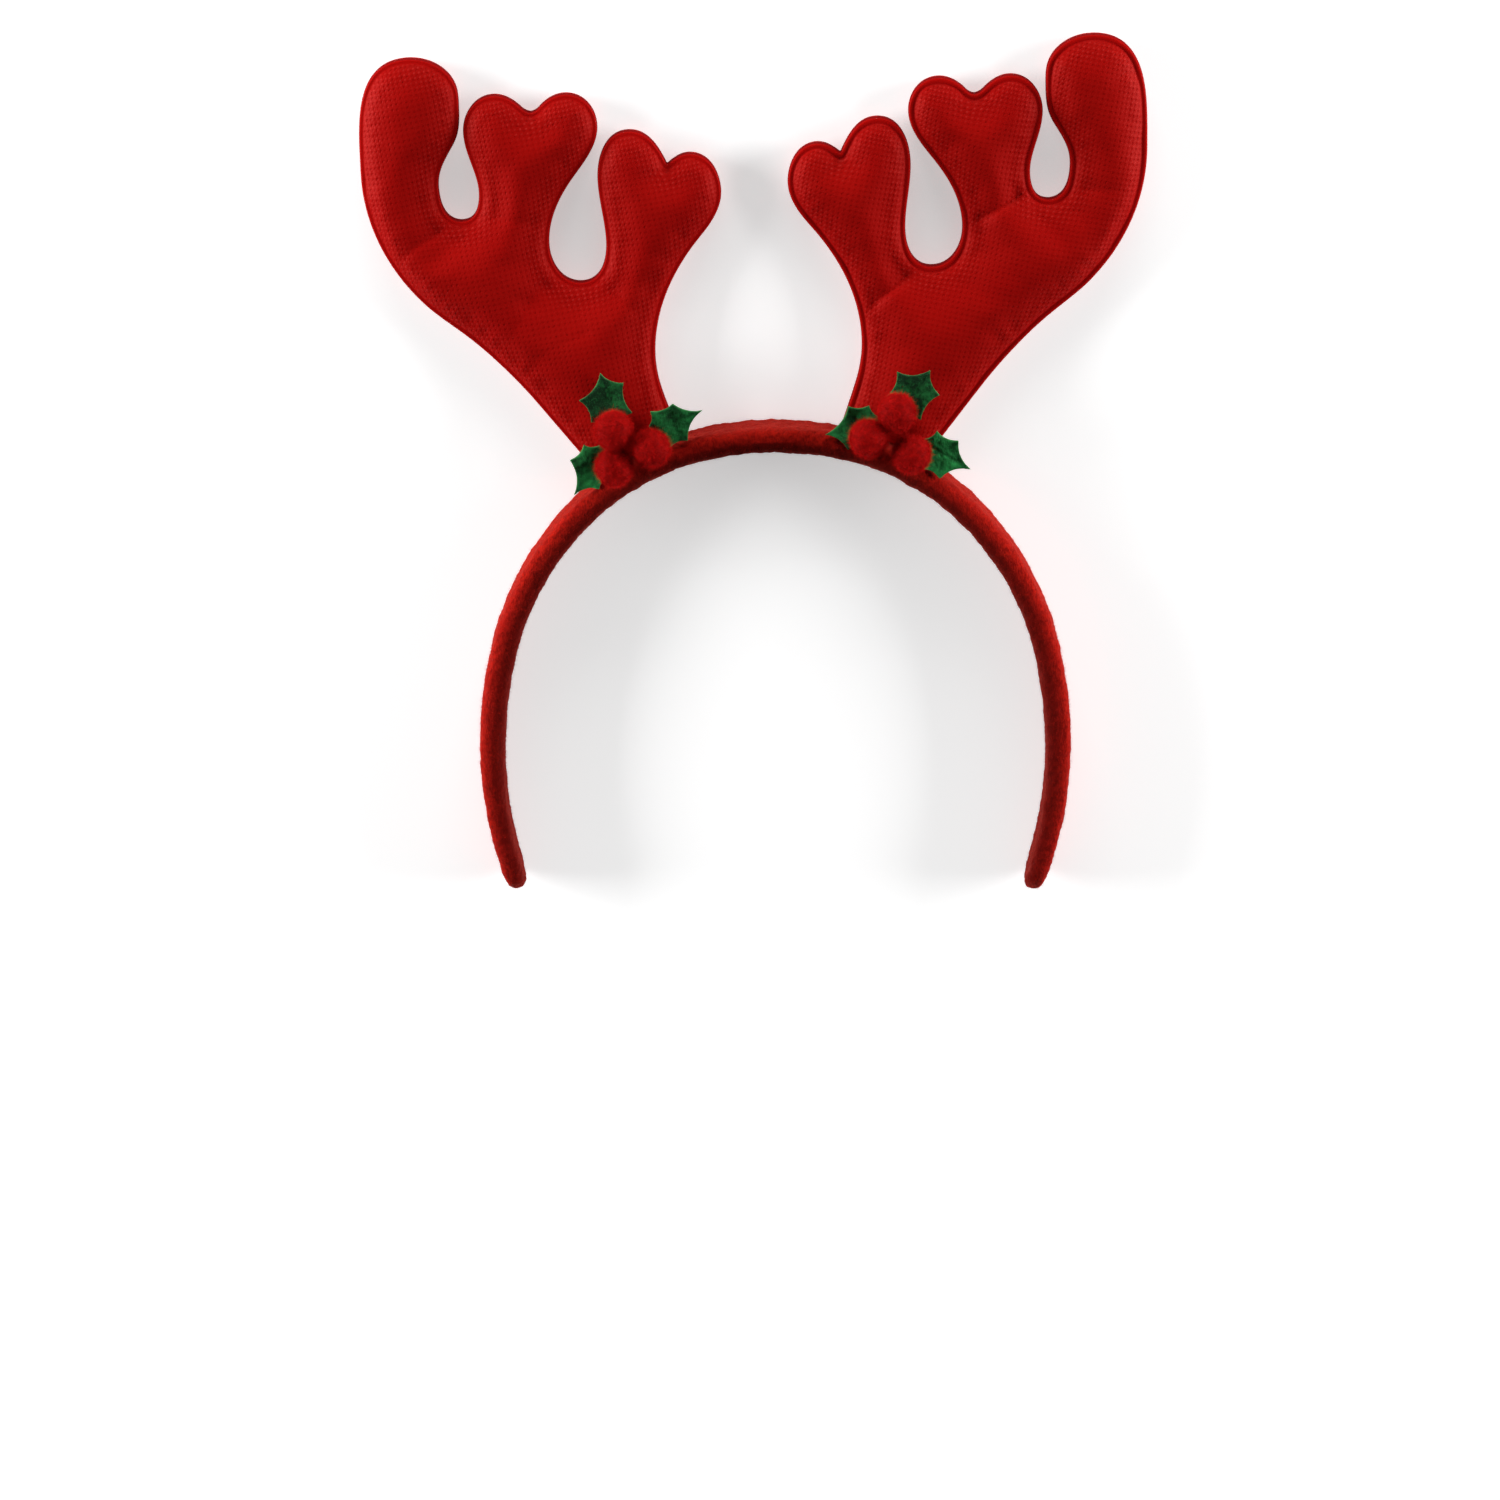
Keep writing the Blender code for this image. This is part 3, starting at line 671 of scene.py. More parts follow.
def knit_lattice(made, cloth):
    """Slanted pits on a square lattice, and the threads midway between them, each 0 to 1."""
    split = made.node("SeparateXYZ")
    made.feed(split.inputs[0], cloth)
    wander = made.math("SUBTRACT", made.cloud(cloth, KNIT_WANDER_SIZE), 0.5)
    across = made.times(split.outputs[0], 2 * pi / KNIT_PITCH)
    across = made.math("ADD", across, made.times(wander, KNIT_WANDER))
    along = made.times(split.outputs[1], 2 * pi / KNIT_PITCH)
    lattice = made.times(made.math("COSINE", along), KNIT_ROWS)
    lattice = made.math("ADD", made.math("COSINE", across), lattice)
    slants = made.math("COSINE", made.math("SUBTRACT", across, along))
    slants = made.times(slants, KNIT_SLANT)
    strength = made.cloud(cloth, KNIT_UNEVEN_SIZE)
    strength = made.spread(strength, 0.3, 0.7, to_low=KNIT_WEAKEST, to_high=1.0)
    pits = made.spread(made.math("ADD", slants, lattice), *PIT_SUMS)
    threads = made.spread(made.math("SUBTRACT", slants, lattice), *THREAD_SUMS)
    return made.times(pits, strength), made.times(threads, strength)


def knit_surface():
    """Shiny warp knit with small pits, and pale threads between them on the flanks as a painted
    highlight.
    """
    made = Surface("knit_red", roughness=0.45, specular=0.5)
    made.set("IOR", 1.15)
    made.set("Specular Tint", (1.0, 0.15, 0.10, 1.0))
    made.sheen(weight=0.30, roughness=0.3, tint=(1.0, 0.05, 0.035))
    cloth = made.attribute("cloth", "Vector")
    rim = made.attribute("rim")
    edge = made.attribute("edge")
    flank = made.attribute("flank")
    off_rim = made.math("SUBTRACT", 1.0, made.times(rim, RIM_HIDES))
    pits, threads = knit_lattice(made, cloth)
    pits = made.times(pits, made.spread(flank, 0.0, 1.0, *PITS_SHOW))
    pits = made.times(pits, off_rim)
    threads = made.times(threads, made.spread(flank, 0.0, 1.0, *THREAD_HIGHLIGHT_SHOW))
    threads = made.times(threads, off_rim)
    strands = made.stretched(cloth, (1.0, 0.3, 1.0))
    strands = made.cloud(strands, size=0.00016, detail=3.0, roughness=0.7)
    nap = made.cloud(cloth, size=0.0007, detail=3.0, roughness=0.6)
    height = made.math("SUBTRACT", made.times(strands, 0.2), pits)
    height = made.math("ADD", height, made.times(nap, 0.2))
    made.bump(height, distance=0.00012)
    made.set("Roughness", made.spread(edge, 0.0, 1.0, to_low=0.45, to_high=0.95))
    # Dark pits: the knit's own dots, deepened by painted shade
    shade = made.blend(pits, KNIT_FACE, KNIT_PIT)
    patch = made.cloud(made.place("Object"), size=0.012, detail=3.0)
    shade = made.blend(made.spread(patch, 0.3, 0.7, to_low=0.0, to_high=0.25), shade, KNIT_PATCH)
    # Painted highlight: pale threads on the padding's flanks
    shade = made.blend(made.times(threads, 0.40), shade, KNIT_THREAD_HIGHLIGHT)
    shade = made.blend(made.times(rim, 0.7), shade, KNIT_RIM)
    # Painted shade in the groove behind the rim
    shade = made.blend(made.attribute("groove"), shade, KNIT_GROOVE_SHADE)
    shade = made.blend(made.times(edge, 0.8), shade, KNIT_EDGE)
    made.set("Base Color", shade)
    return made.material


def felt_red_surface():
    """Red craft felt: matted fibres, a soft bloom, and mottling with painted shade in small hollows.
    """
    made = Surface("felt_red", roughness=0.95, specular=0.08)
    made.set("Specular Tint", (1.0, 0.3, 0.25, 1.0))
    made.sheen(weight=0.35, roughness=0.45, tint=(1.0, 0.12, 0.08))
    place = made.place("Object")
    mat = made.cloud(place, size=0.0011, detail=4.0, roughness=0.65)
    strands = made.stretched(place, (1.0, 0.3, 0.7), turn=0.6)
    strands = made.cloud(strands, size=0.00035, detail=3.0, roughness=0.6)
    patch = made.cloud(place, size=0.007)
    made.bump(made.math("ADD", made.times(mat, 0.7), made.times(strands, 0.5)), distance=0.00035)
    # Mottling that follows the bump, darker in its hollows: painted shade
    flecks = made.math("ADD", made.times(strands, 0.5), made.times(mat, 0.5))
    shade = made.blend(made.spread(flecks, 0.38, 0.62), FELT_HOLLOW_SHADE, FELT_FACE)
    shade = made.blend(made.spread(patch, 0.35, 0.7, to_low=0.0, to_high=0.5), shade, FELT_PATCH)
    # Painted shade: darker towards the inner side of the band
    shade = made.blend(made.times(made.attribute("inward_shade"), 0.8), shade, FELT_INWARD_SHADE)
    made.set("Base Color", shade)
    return made.material


def fuzz_surface(name):
    """Loose fibre ends of a felt or a pompom, or what lies under a pompom's pile, painted darker as
    shade.
    """
    dark, light, weight, tint = FUZZ[name]
    made = Surface(name, roughness=0.85, specular=0.08)
    made.sheen(weight, roughness=0.5, tint=tint)
    patch = made.cloud(made.place("Object"), size=0.0012)
    made.set("Base Color", made.blend(made.spread(patch, 0.3, 0.7), dark, light))
    return made.material


def felt_green_surface():
    """Green craft felt with pressed veins in painted shade, and a pale cut edge as a painted
    highlight.
    """
    made = Surface("felt_green", roughness=0.9, specular=0.10)
    made.sheen(weight=0.15, roughness=0.45, tint=(0.2, 1.0, 0.4))
    place = made.place("Object")
    mat = made.cloud(place, size=0.0014, detail=4.0, roughness=0.65)
    strands = made.stretched(place, (1.0, 0.25, 1.0), turn=0.9)
    strands = made.cloud(strands, size=0.0003, detail=3.0, roughness=0.6)
    made.bump(made.math("ADD", made.times(mat, 0.6), made.times(strands, 0.5)), distance=0.0003)
    tone = made.spread(mat, 0.35, 0.65, to_low=-0.20, to_high=0.20)
    tone = made.math("ADD", tone, made.attribute("tone"))
    tone = made.math("ADD", tone, made.spread(strands, 0.5, 0.8, to_low=-0.05, to_high=0.35))
    shade = made.blend(tone, LEAF_DARK, LEAF_LIGHT)
    # Painted shade in the pressed veins
    shade = made.blend(made.times(made.attribute("vein"), 0.35), shade, LEAF_VEIN_SHADE)
    # Painted highlight along the cut edge, stronger in patches
    highlight_share = made.spread(made.cloud(place, size=0.0035), 0.35, 0.65, to_low=0.1, to_high=0.7)
    shade = made.blend(made.times(made.attribute("edge"), highlight_share), shade, LEAF_CUT_HIGHLIGHT)
    made.set("Base Color", shade)
    return made.material


def level(plane, spots):
    """Height of a plane at flat spots."""
    return spots @ plane[:2] + plane[2]


def middle_plane(points, order):
    """The plane halfway through a flat solid, half its rim's thickness and its greatest rise."""
    flat, heights = points[order, :2], points[order, 2]
    tree = tree_of(points)
    under = np.array([tree.find((x, y, 0))[0].z for x, y in flat])
    rows = np.column_stack([flat, np.ones(len(flat))])
    plane = np.linalg.lstsq(rows, (heights + under) / 2, rcond=None)[0]
    half_rim = float(np.median(heights - under)) / 2
    full = float((points[:, 2] - level(plane, points[:, :2])).max())
    return plane, half_rim, full


def crease_depth(name, spots, low, high):
    """How far the creases of one antler press each spot in."""
    depth = np.zeros(len(spots))
    wander = uneven(spots, *CREASE_WANDER)
    for owner, _, x1, y1, x2, y2, valley, below, above in CREASES:
        if owner != name:
            continue
        start = low + np.array((x1, y1)) * (high - low)
        end = low + np.array((x2, y2)) * (high - low)
        length = np.linalg.norm(end - start)
        way = (end - start) / length
        upward = np.array((-way[1], way[0]))
        upward = upward if upward[1] > 0 else -upward
        gap = spots - start
        along = (gap @ way) / length
        beyond = np.maximum(np.maximum(-along, along - 1), 0) * length
        side = gap @ upward + wander
        fade = np.exp(-((beyond / CREASE_END) ** 2))
        fade = fade * (1 - CREASE_TAPER * ease(along, CREASE_TAPER_FROM, 1.0))
        blunt = np.sqrt(side**2 + CREASE_BLUNT**2) - CREASE_BLUNT
        depth += valley * fade * np.exp(-blunt / np.where(side > 0, above, below))
    return depth


def padding(depth_in):
    """Rise of the padding as a share of its full height, by how far in from the rim."""
    return 1 - (1 - np.clip(depth_in / PAD_RISE, 0, 1)) ** 2


def cloth_run(points, triangles, held):
    """Where pressure moves the points of a closed cloth form, with some of them held."""
    mesh = bpy.data.meshes.new("padding_work")
    mesh.from_pydata([tuple(p) for p in points * CLOTH_SCALE], [], triangles.tolist())
    worked = placed("padding_work", mesh)
    group = worked.vertex_groups.new(name="held")
    group.add([int(k) for k in np.flatnonzero(held)], 1.0, "REPLACE")
    cloth = worked.modifiers.new("pressure", "CLOTH")
    settings = cloth.settings
    settings.quality = CLOTH_QUALITY
    settings.mass = CLOTH_MASS
    settings.tension_stiffness = CLOTH_STRETCH
    settings.compression_stiffness = CLOTH_STRETCH
    settings.shear_stiffness = CLOTH_SHEAR
    settings.bending_stiffness = CLOTH_BENDING
    settings.shrink_min = -CLOTH_SPARE
    settings.use_pressure = True
    settings.uniform_pressure_force = CLOTH_PRESSURE
    settings.vertex_group_mass = group.name
    settings.effector_weights.gravity = 0
    cloth.collision_settings.use_collision = False
    cloth.point_cache.frame_end = CLOTH_FRAMES
    for number in range(1, CLOTH_FRAMES + 1):
        bpy.context.scene.frame_set(number)
    shown = worked.evaluated_get(bpy.context.evaluated_depsgraph_get())
    moved, _ = arrays_of(shown.data)
    bpy.data.objects.remove(worked)
    bpy.context.scene.frame_set(1)
    return moved.astype(float) / CLOTH_SCALE


def puffed(loop, rim_reach, half_rim, full):
    """Rise of the front and of the back over a coarse mesh of the antler, by a cloth run."""
    coarse = smooth_loop(loop, CLOTH_STEP)[0]
    spots, sheet = fill(coarse, (rim_reach,), CLOTH_STEP)
    depth_in = nearest_on(loop, spots)[0]
    start = half_rim + (full - half_rim) * CLOTH_START * padding(depth_in - rim_reach)
    border = len(coarse)
    start[:border] = 0
    points, faces, lower = closed_sheet(spots, sheet, start, -start, border)
    held = np.concatenate([depth_in, depth_in[border:]]) < rim_reach + CLOTH_HELD
    moved = cloth_run(points, faces, held)
    most = full - half_rim + CLOTH_CAP
    front = np.clip(moved[: len(spots), 2] - half_rim, 0, most)
    back = np.clip(-moved[lower, 2] - half_rim, 0, most)
    return spots, front, back


def carried(spots, front, back, onto):
    """Rises known at coarse spots, carried to other spots by inverse distance."""
    tree = tree_of(spots)
    made = []
    for x, y in onto:
        near = tree.find_n((x, y, 0), CARRY_POINTS)
        which = [k for _, k, _ in near]
        weights = np.array([1 / (far + CARRY_NEAR) ** CARRY_FALL for _, _, far in near])
        made.append([(weights * rise[which]).sum() / weights.sum() for rise in (front, back)])
    return np.array(made).T


def lifts(loop, spots, sheet, depth_in, swell, rim_reach, half_rim, full):
    """Rise of the padding past the rim's thickness, on the front and on the back."""
    drawn = (full - half_rim) * swell
    within = ease(depth_in, *CLOTH_FADE)
    loose = ease(depth_in, *SMOOTH_FADE)
    rises = carried(*puffed(loop, rim_reach, half_rim, full), spots)
    return [relax(drawn + (rise - drawn) * within, sheet, loose, SMOOTH_ROUNDS) for rise in rises]


def cloth_places(side, spots, near, depth_in, swell):
    """Where each spot lies on the knit, which leans outwards and covers the flank as well."""
    lean = radians(KNIT_LEAN) * (1 if side == "left" else -1)
    away = unit(near - spots)
    away[depth_in < ON_EDGE] = 0
    x, y = (spots + away * (KNIT_TAKE_UP * (1 - swell))[:, None]).T
    across = x * cos(lean) + y * sin(lean)
    along = y * cos(lean) - x * sin(lean)
    return np.column_stack([across, along, np.zeros(len(spots))])


def build_antler(side, surface):
    """A stuffed antler: knit welded along a flat rim, with a groove, padding and creases."""
    name = "antler_" + side
    rim_reach = RIM_REACH[side]
    points, triangles = node_mesh(name)
    order = sheet_loop(points, triangles)
    plane, half_rim, full = middle_plane(points, order)
    loop, _ = smooth_loop(points[order, :2], LOOP_STEP)
    spots, sheet = fill(loop, RIM_ROWS, GRID_STEP)
    depth_in, near = nearest_on(loop, spots)
    past_rim = depth_in - rim_reach - uneven(near, *RIM_UNEVEN)
    swell = padding(past_rim)
    lift_front, lift_back = lifts(loop, spots, sheet, depth_in, swell, rim_reach, half_rim, full)
    rounded = np.sqrt(1 - (1 - np.clip(depth_in / RIM_ROUND, 0, 1)) ** 2)
    rim_height = half_rim * (RIM_EDGE_SHARE + (1 - RIM_EDGE_SHARE) * rounded)
    groove = np.exp(-((past_rim / GROOVE_WIDTH) ** 2)) * GROOVE_SHARE[side]
    groove = groove * (1 + dips(near, GROOVE_UNEVEN))
    pucker = dips(near, PUCKERS) * np.exp(-(((depth_in - PUCKER_PLACE) / PUCKER_REACH) ** 2))
    within = ease(depth_in, *STUFFING_FADE)
    low, high = (np.array(corner)[:2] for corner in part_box(name))
    creased = crease_depth(name, spots, low, high) * ease(depth_in, *CREASE_FADE)
    middle = level(plane, spots)
    front = middle + rim_height + lift_front - GROOVE_DEPTH * groove + pucker
    front = front + dips(spots, *STUFFING_FRONT) * within - creased
    back = middle - rim_height - lift_back + GROOVE_DEPTH * groove - pucker
    back = np.maximum(back - dips(spots, *STUFFING_BACK) * within, 0.0)
    border = len(loop)
    front[:border] = np.maximum(middle[:border], half_rim)
    back = np.minimum(back, front - LEAST_THICKNESS)
    everything, faces, _ = closed_sheet(spots, sheet, front, back, border)
    values = (
        ("cloth", cloth_places(side, spots, near, depth_in, swell)),
        ("rim", 1 - ease(depth_in - rim_reach, *RIM_BLEND)),
        ("groove", groove),
        ("edge", 1 - ease(depth_in, *EDGE_BLEND)),
        # The flank carries the painted highlight of the threads, and a little more of the pits'
        # painted shade
        ("flank", 1 - ease(depth_in, *FLANK_FADE)),
    )
    attributes = [(label, np.concatenate([given, given[border:]])) for label, given in values]
    return new_piece(name + "_padded", everything, faces, surface, [name], attributes)


def ribbons(roots, ways, lengths, width, bend, rng):
    """Points and triangles of thin tapering ribbons that grow from roots and bend aside."""
    count = len(roots)
    aside = unit(np.cross(ways, rng.normal(size=(count, 3))))
    sweep = unit(rng.normal(size=(count, 3)))
    share = np.linspace(0, 1, RIBBON_PARTS + 1)[None, :, None]
    size = lengths[:, None, None]
    line = roots[:, None] + ways[:, None] * size * share + sweep[:, None] * size * bend * share**2
    half = aside[:, None] * width / 2 * (1 - RIBBON_TAPER * share[:, :-1])
    pairs = np.stack([line[:, :-1] - half, line[:, :-1] + half], axis=2).reshape(count, -1, 3)
    points = np.concatenate([pairs, line[:, -1:]], axis=1)
    pattern = []
    for k in range(RIBBON_PARTS - 1):
        pattern += [(2 * k, 2 * k + 1, 2 * k + 3), (2 * k, 2 * k + 3, 2 * k + 2)]
    pattern.append((2 * RIBBON_PARTS - 2, 2 * RIBBON_PARTS - 1, 2 * RIBBON_PARTS))
    firsts = np.arange(count) * (2 * RIBBON_PARTS + 1)
    triangles = np.array(pattern)[None] + firsts[:, None, None]
    return points.reshape(-1, 3), triangles.reshape(-1, 3)


def scattered(points, triangles, count, rng):
    """Random spots over a mesh, evenly by area, with the normal at each."""
    a, b, c = points[triangles.T]
    cross = np.cross(b - a, c - a)
    area = np.linalg.norm(cross, axis=1)
    picked = rng.choice(len(triangles), count, p=area / area.sum())
    u, v = rng.random(count), rng.random(count)
    fold = u + v > 1
    u[fold], v[fold] = 1 - u[fold], 1 - v[fold]
    spots = a[picked] + u[:, None] * (b - a)[picked] + v[:, None] * (c - a)[picked]
    return spots, unit(cross[picked])


def leaning(out, lean, rng):
    """Directions partly straight out of a surface and partly astray."""
    outward, astray = lean
    return unit(out * outward + unit(rng.normal(size=out.shape)) * astray)


def felt_fibres(points, triangles, kind, rng):
    """Points and triangles of loose fibres that grow from a felt's mesh, none of them inwards."""
    count, lengths, width, lean, sunk = kind
    roots, out = scattered(points, triangles, count, rng)
    ways = leaning(out, lean, rng)
    ways = np.where((ways * out).sum(1, keepdims=True) < 0, -ways, ways)
    sizes = rng.uniform(*lengths, count)
    return ribbons(roots - out * sunk, ways, sizes, width, FELT_FIBRE_BEND, rng)


def fine_band():
    """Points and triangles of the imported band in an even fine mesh, smoothed."""
    worked = placed("band_work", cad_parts["band"].data.copy())
    remesh = worked.modifiers.new("fine", "REMESH")
    remesh.mode = "VOXEL"
    remesh.voxel_size = BAND_VOXEL
    shown = worked.evaluated_get(bpy.context.evaluated_depsgraph_get())
    points, triangles = arrays_of(shown.to_mesh())
    points = points.astype(float)
    shown.to_mesh_clear()
    bpy.data.objects.remove(worked)
    for weight in BAND_SMOOTH_WEIGHTS * BAND_SMOOTH_ROUNDS:
        points = np.column_stack([relax(points[:, k], triangles, weight, 1) for k in range(3)])
    return points, triangles


def build_band(surface, fuzz):
    """The felt-wrapped band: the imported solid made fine, with uneven felt, a seam and fibres."""
    points, triangles = fine_band()
    normals = point_normals(points, triangles)
    swell = uneven(points, *BAND_LUMPS) + uneven(points, *BAND_GRAIN)
    facing = -(unit(points[:, :2] - np.array(BAND_MIDDLE)) * normals[:, :2]).sum(1)
    inner = ease(facing, *SEAM_FACING)
    seam = points[:, 2] - SEAM_HEIGHT - uneven(points, *SEAM_WANDER)
    swell -= inner * SEAM_DEPTH * np.exp(-((seam / SEAM_WIDTH) ** 2))
    swell += inner * SEAM_LIP * np.where(seam > 0, np.exp(-seam / SEAM_LIP_REACH), 0)
    points = points + normals * swell[:, None]
    points[:, 2] = np.maximum(points[:, 2], 0.0)
    # Painted shade on the inner side of the band
    inward_shade = [("inward_shade", ease(facing, *INWARD_SHADE_FACING))]
    band = new_piece("band_felt", points, triangles, surface, ["band"], inward_shade)
    rng = np.random.default_rng(BAND_SEED)
    tips, faces = felt_fibres(points, triangles, BAND_FIBRES, rng)
    tips[:, 2] = np.maximum(tips[:, 2], FLOOR_CLEAR)
    new_piece("band_fibres", tips, faces, fuzz)
    return band


def berry_place(name):
    """Centre and radius of a pompom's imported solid."""
    points, _ = node_mesh(name)
    top = points[points[:, 2].argmax()]
    radius = np.linalg.norm(points[:, :2] - top[:2], axis=1).max()
    return top - np.array((0, 0, radius)), radius


def ball(subdivisions):
    """Unit directions and triangles of a finely divided ball."""
    work = bmesh.new()
    bmesh.ops.create_icosphere(work, subdivisions=subdivisions, radius=1.0)
    points = np.array([tuple(v.co) for v in work.verts])
    triangles = np.array([[v.index for v in f.verts] for f in work.faces])
    work.free()
    return unit(points), triangles


def build_berry(side, part, core_shade_surface, fuzz, seed):
    """A pompom: a lumpy core, painted darker as shade, under a thick pile of cut fibre ends."""
    name = "berry_%s_%s" % (side, part)
    centre, radius = berry_place(name)
    ways, triangles = ball(CORE_DIVISIONS)
    lumps = sum(uneven(ways * radius, *lump, seed) for lump in CORE_LUMPS)
    core = centre + ways * (radius * CORE_SHARE + lumps)[:, None]
    new_piece(name + "_core", core, triangles, core_shade_surface, [name])
    rng = np.random.default_rng(seed)
    roots, out = scattered(core, triangles, PILE_FIBRES, rng)
    ways = leaning(out, PILE_LEAN, rng)
    ways = np.where((ways * out).sum(1, keepdims=True) < PILE_LEAST, out, ways)
    lengths = PILE_LENGTH * rng.uniform(*PILE_SPREAD, len(roots))
    lengths = np.where(rng.random(len(roots)) < STRAY_SHARE, STRAY_LENGTH * lengths, lengths)
    roots = roots - out * PILE_ROOT
    tips, faces = ribbons(roots, ways, lengths, PILE_WIDTH, PILE_BEND, rng)
    new_piece(name + "_pile", tips, faces, fuzz)


def leaf_heights(points, triangles, spots, sheet):
    """Heights of a packed leaf's front and back over flat spots, smoothed."""
    tree = BVHTree.FromPolygons([tuple(p) for p in points], triangles.tolist())
    front, back = [], []
    for x, y in spots + unit(spots.mean(0) - spots) * PROBE_INSIDE:
        for made, start, way in ((front, PROBE_HEIGHT, -1), (back, -PROBE_HEIGHT, 1)):
            hit = tree.ray_cast((x, y, start), (0, 0, way))[0]
            made.append(hit.z if hit else tree.find_nearest((x, y, LEAF_LEVEL))[0].z)
    return [relax(np.array(z), sheet, LEAF_SMOOTHING, LEAF_SMOOTH_ROUNDS) for z in (front, back)]


def leaf_veins(spots, foot, tip, corners):
    """How deep in a vein each spot lies, 0 to 1: the midrib and a side vein to each point."""
    axis = unit(tip - foot)
    length = np.linalg.norm(tip - foot)
    first, last = SIDE_VEIN_RANGE
    lines = [(foot, tip, 1.0)]
    for corner in corners:
        along = (corner - foot) @ axis
        out = np.linalg.norm(corner - foot - axis * along)
        if first * length < along < last * length:
            root = foot + axis * max(0.0, along - SIDE_VEIN_SWEEP * out)
            lines.append((root, corner, SIDE_VEIN_SHARE))
    vein = np.zeros(len(spots))
    for start, end, weight in lines:
        span = end - start
        share = np.clip(((spots - start) @ span) / (span @ span), 0, 1)
        gap = np.linalg.norm(spots - start - share[:, None] * span, axis=1)
        depth = np.exp(-((gap / VEIN_WIDTH) ** 2)) * (1 - VEIN_TAPER * share)
        vein = np.maximum(vein, weight * depth)
    return vein


def build_leaf(side, part, surface, fuzz, seed):
    """A felt holly leaf: die-cut, cupped, with pressed veins, a pale cut edge and loose fibres."""
    name = "leaf_%s_%s" % (side, part)
    points, triangles = node_mesh(name)
    order = sheet_loop(points, triangles)
    loop, corners = smooth_loop(points[order, :2], LEAF_STEP)
    spots, sheet = fill(loop, LEAF_ROWS, LEAF_STEP)
    depth_in = nearest_on(loop, spots)[0]
    front, back = leaf_heights(points, triangles, spots, sheet)
    sprig = np.mean([berry_place("berry_%s_%s" % (side, p))[0][:2] for p in SPRIG_PARTS], axis=0)
    from_sprig = np.linalg.norm(loop - sprig, axis=1)
    foot, tip = loop[from_sprig.argmin()], loop[from_sprig.argmax()]
    length = np.linalg.norm(tip - foot)
    vein = leaf_veins(spots, foot, tip, corners)
    tone = LEAF_TONE[side][part] + uneven(spots, *LEAF_PATCH, seed)
    wave = uneven(spots, *LEAF_WAVE, seed)
    curl = ease(np.linalg.norm(spots - foot, axis=1), *(length * v for v in LEAF_CURL_RANGE))
    curl = LEAF_CURL * curl
    grain = uneven(spots, *LEAF_GRAIN, seed)
    bevel = LEAF_BEVEL * (1 - ease(depth_in, 0, LEAF_BEVEL_WIDTH))
    high = front + np.maximum(wave, LEAF_WAVE_LEAST) + curl + grain - VEIN_DEPTH * vein - bevel
    low = back + np.maximum(wave, 0) + curl + bevel
    count = len(spots)
    border = np.arange(len(loop))
    after = np.roll(border, -1)
    wall = [
        np.column_stack([border, border + count, after + count]),
        np.column_stack([border, after + count, after]),
    ]
    everything = np.vstack([np.column_stack([spots, high]), np.column_stack([spots, low])])
    faces = np.vstack([sheet, sheet[:, ::-1] + count, *wall])
    # The veins carry a painted shade, and the edge a painted highlight
    values = (
        ("vein", vein),
        ("edge", 1 - ease(depth_in, *LEAF_EDGE_BLEND)),
        ("tone", np.clip(tone, 0, 1)),
    )
    attributes = [(label, np.concatenate([given, given])) for label, given in values]
    leaf = new_piece(name + "_felt", everything, faces, surface, [name], attributes)
    tips, bits = felt_fibres(everything, faces, LEAF_FIBRES, np.random.default_rng(seed))
    fibres = new_piece(name + "_fibres", tips, bits, fuzz)


def softbox(name, place, size, power):
    """A soft rectangular light that faces the headband and doesn't show itself."""
    light = bpy.data.lights.new(name, "AREA")
    light.shape = "RECTANGLE"
    light.size, light.size_y = size
    light.energy = power
    made = placed(name, light)
    made.location = place
    made.rotation_euler = (-place).to_track_quat("-Z", "Y").to_euler()
    made.visible_camera = False


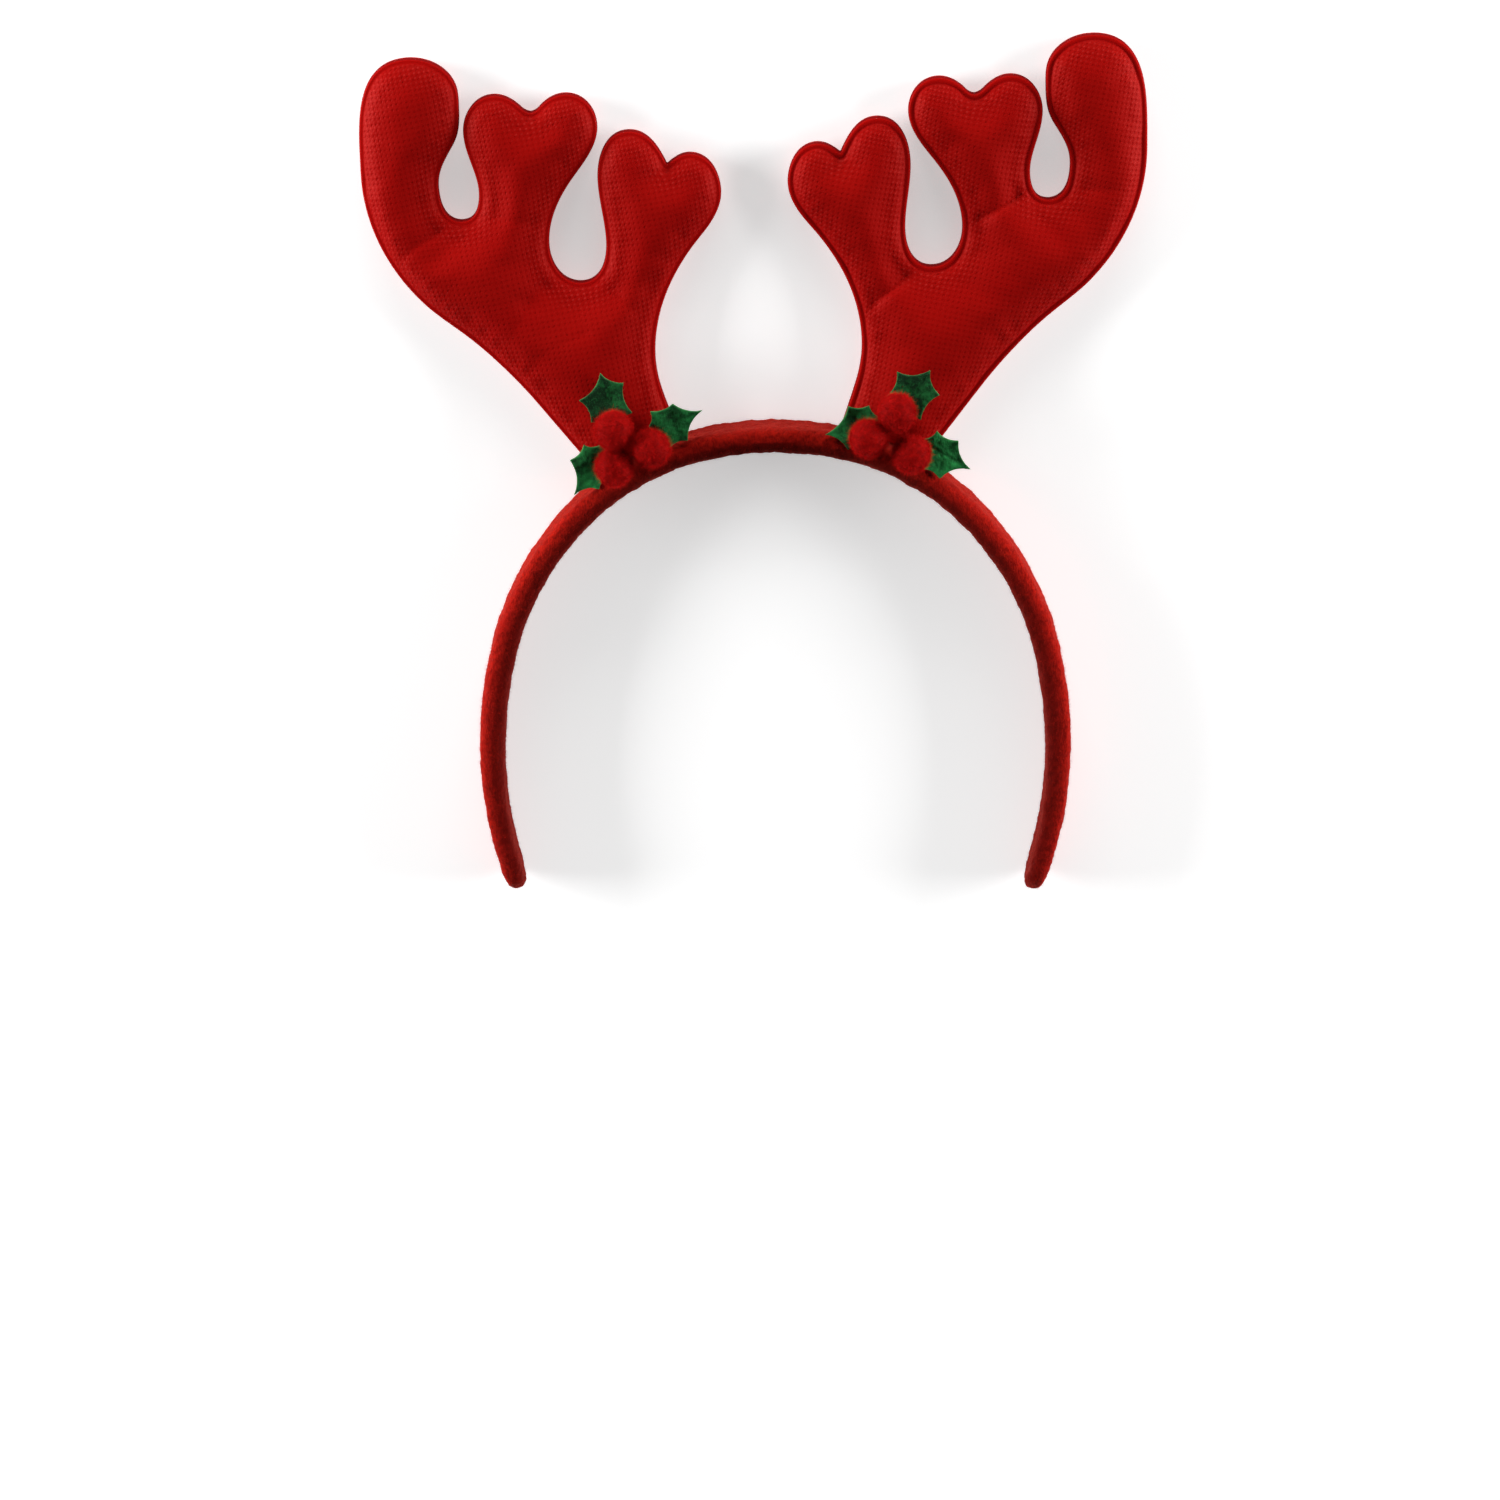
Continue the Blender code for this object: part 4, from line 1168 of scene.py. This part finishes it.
def studio_world():
    """A bright wall all round that darkens upwards and towards -Y."""
    world = bpy.data.worlds.new("studio")
    world.use_nodes = True
    made = Graph(world.node_tree)
    split = made.node("SeparateXYZ")
    made.feed(split.inputs[0], made.place("Generated"))
    upward = made.spread(split.outputs["Z"], *WALL_HEIGHTS, *WALL_GLOW, change="LINEAR")
    across = made.spread(split.outputs["Y"], *WALL_DIRECTIONS, *WALL_SHARES, change="LINEAR")
    made.feed(made.tree.nodes["Background"].inputs["Strength"], made.times(upward, across))
    return world


def build_floor():
    """A pale floor that is partly lit by itself."""
    mesh = bpy.data.meshes.new("floor")
    corners = [(x * FLOOR_REACH, y * FLOOR_REACH, 0) for x, y in ((-1, -1), (1, -1), (1, 1), (-1, 1))]
    mesh.from_pydata(corners, [], [(0, 1, 2, 3)])
    floor = placed("floor", mesh)
    floor.location.z = -FLOOR_DROP
    paint = Surface("floor", roughness=0.9, specular=0.0)
    paint.set("Base Color", FLOOR_PAINT)
    paint.set("Emission Color", WHITE)
    paint.set("Emission Strength", FLOOR_GLOW)
    mesh.materials.append(paint.material)


def build_stage():
    """The floor, soft lights from both sides and from beyond the antlers, and the camera."""
    build_floor()
    rise = radians(SOFTBOX_ELEVATION)
    for name, azimuth, distance, width, height, power in SOFTBOXES:
        turn = radians(azimuth)
        way = Vector((cos(turn) * cos(rise), sin(turn) * cos(rise), sin(rise)))
        softbox(name, way * distance, (width, height), power)
    bpy.context.scene.world = studio_world()
    camera = placed("camera", bpy.data.cameras.new("camera"))
    tilt = radians(CAMERA_TILT)
    camera.location = CAMERA_AIM + CAMERA_DISTANCE * Vector((0, sin(tilt), cos(tilt)))
    camera.rotation_euler = (-tilt, 0, 0)
    camera.data.lens = CAMERA_LENS
    camera.data.sensor_width = SENSOR_WIDTH
    bpy.context.scene.camera = camera
    bpy.context.scene.view_settings.view_transform = "Standard"


def main():
    knit = knit_surface()
    felt_red = felt_red_surface()
    felt_green = felt_green_surface()
    fuzz_red = fuzz_surface("felt_red_fibres")
    pile = fuzz_surface("pompom_red_pile")
    core = fuzz_surface("pompom_core_shade")
    fuzz_green = fuzz_surface("felt_green_fibres")
    for side in SIDES:
        build_antler(side, knit)
    build_band(felt_red, fuzz_red)
    for index, (side, part) in enumerate([(s, p) for s in SIDES for p in SPRIG_PARTS]):
        build_leaf(side, part, felt_green, fuzz_green, LEAF_SEED + SEED_STEP * index)
        build_berry(side, part, core, pile, BERRY_SEED + SEED_STEP * index)
    build_stage()


main()
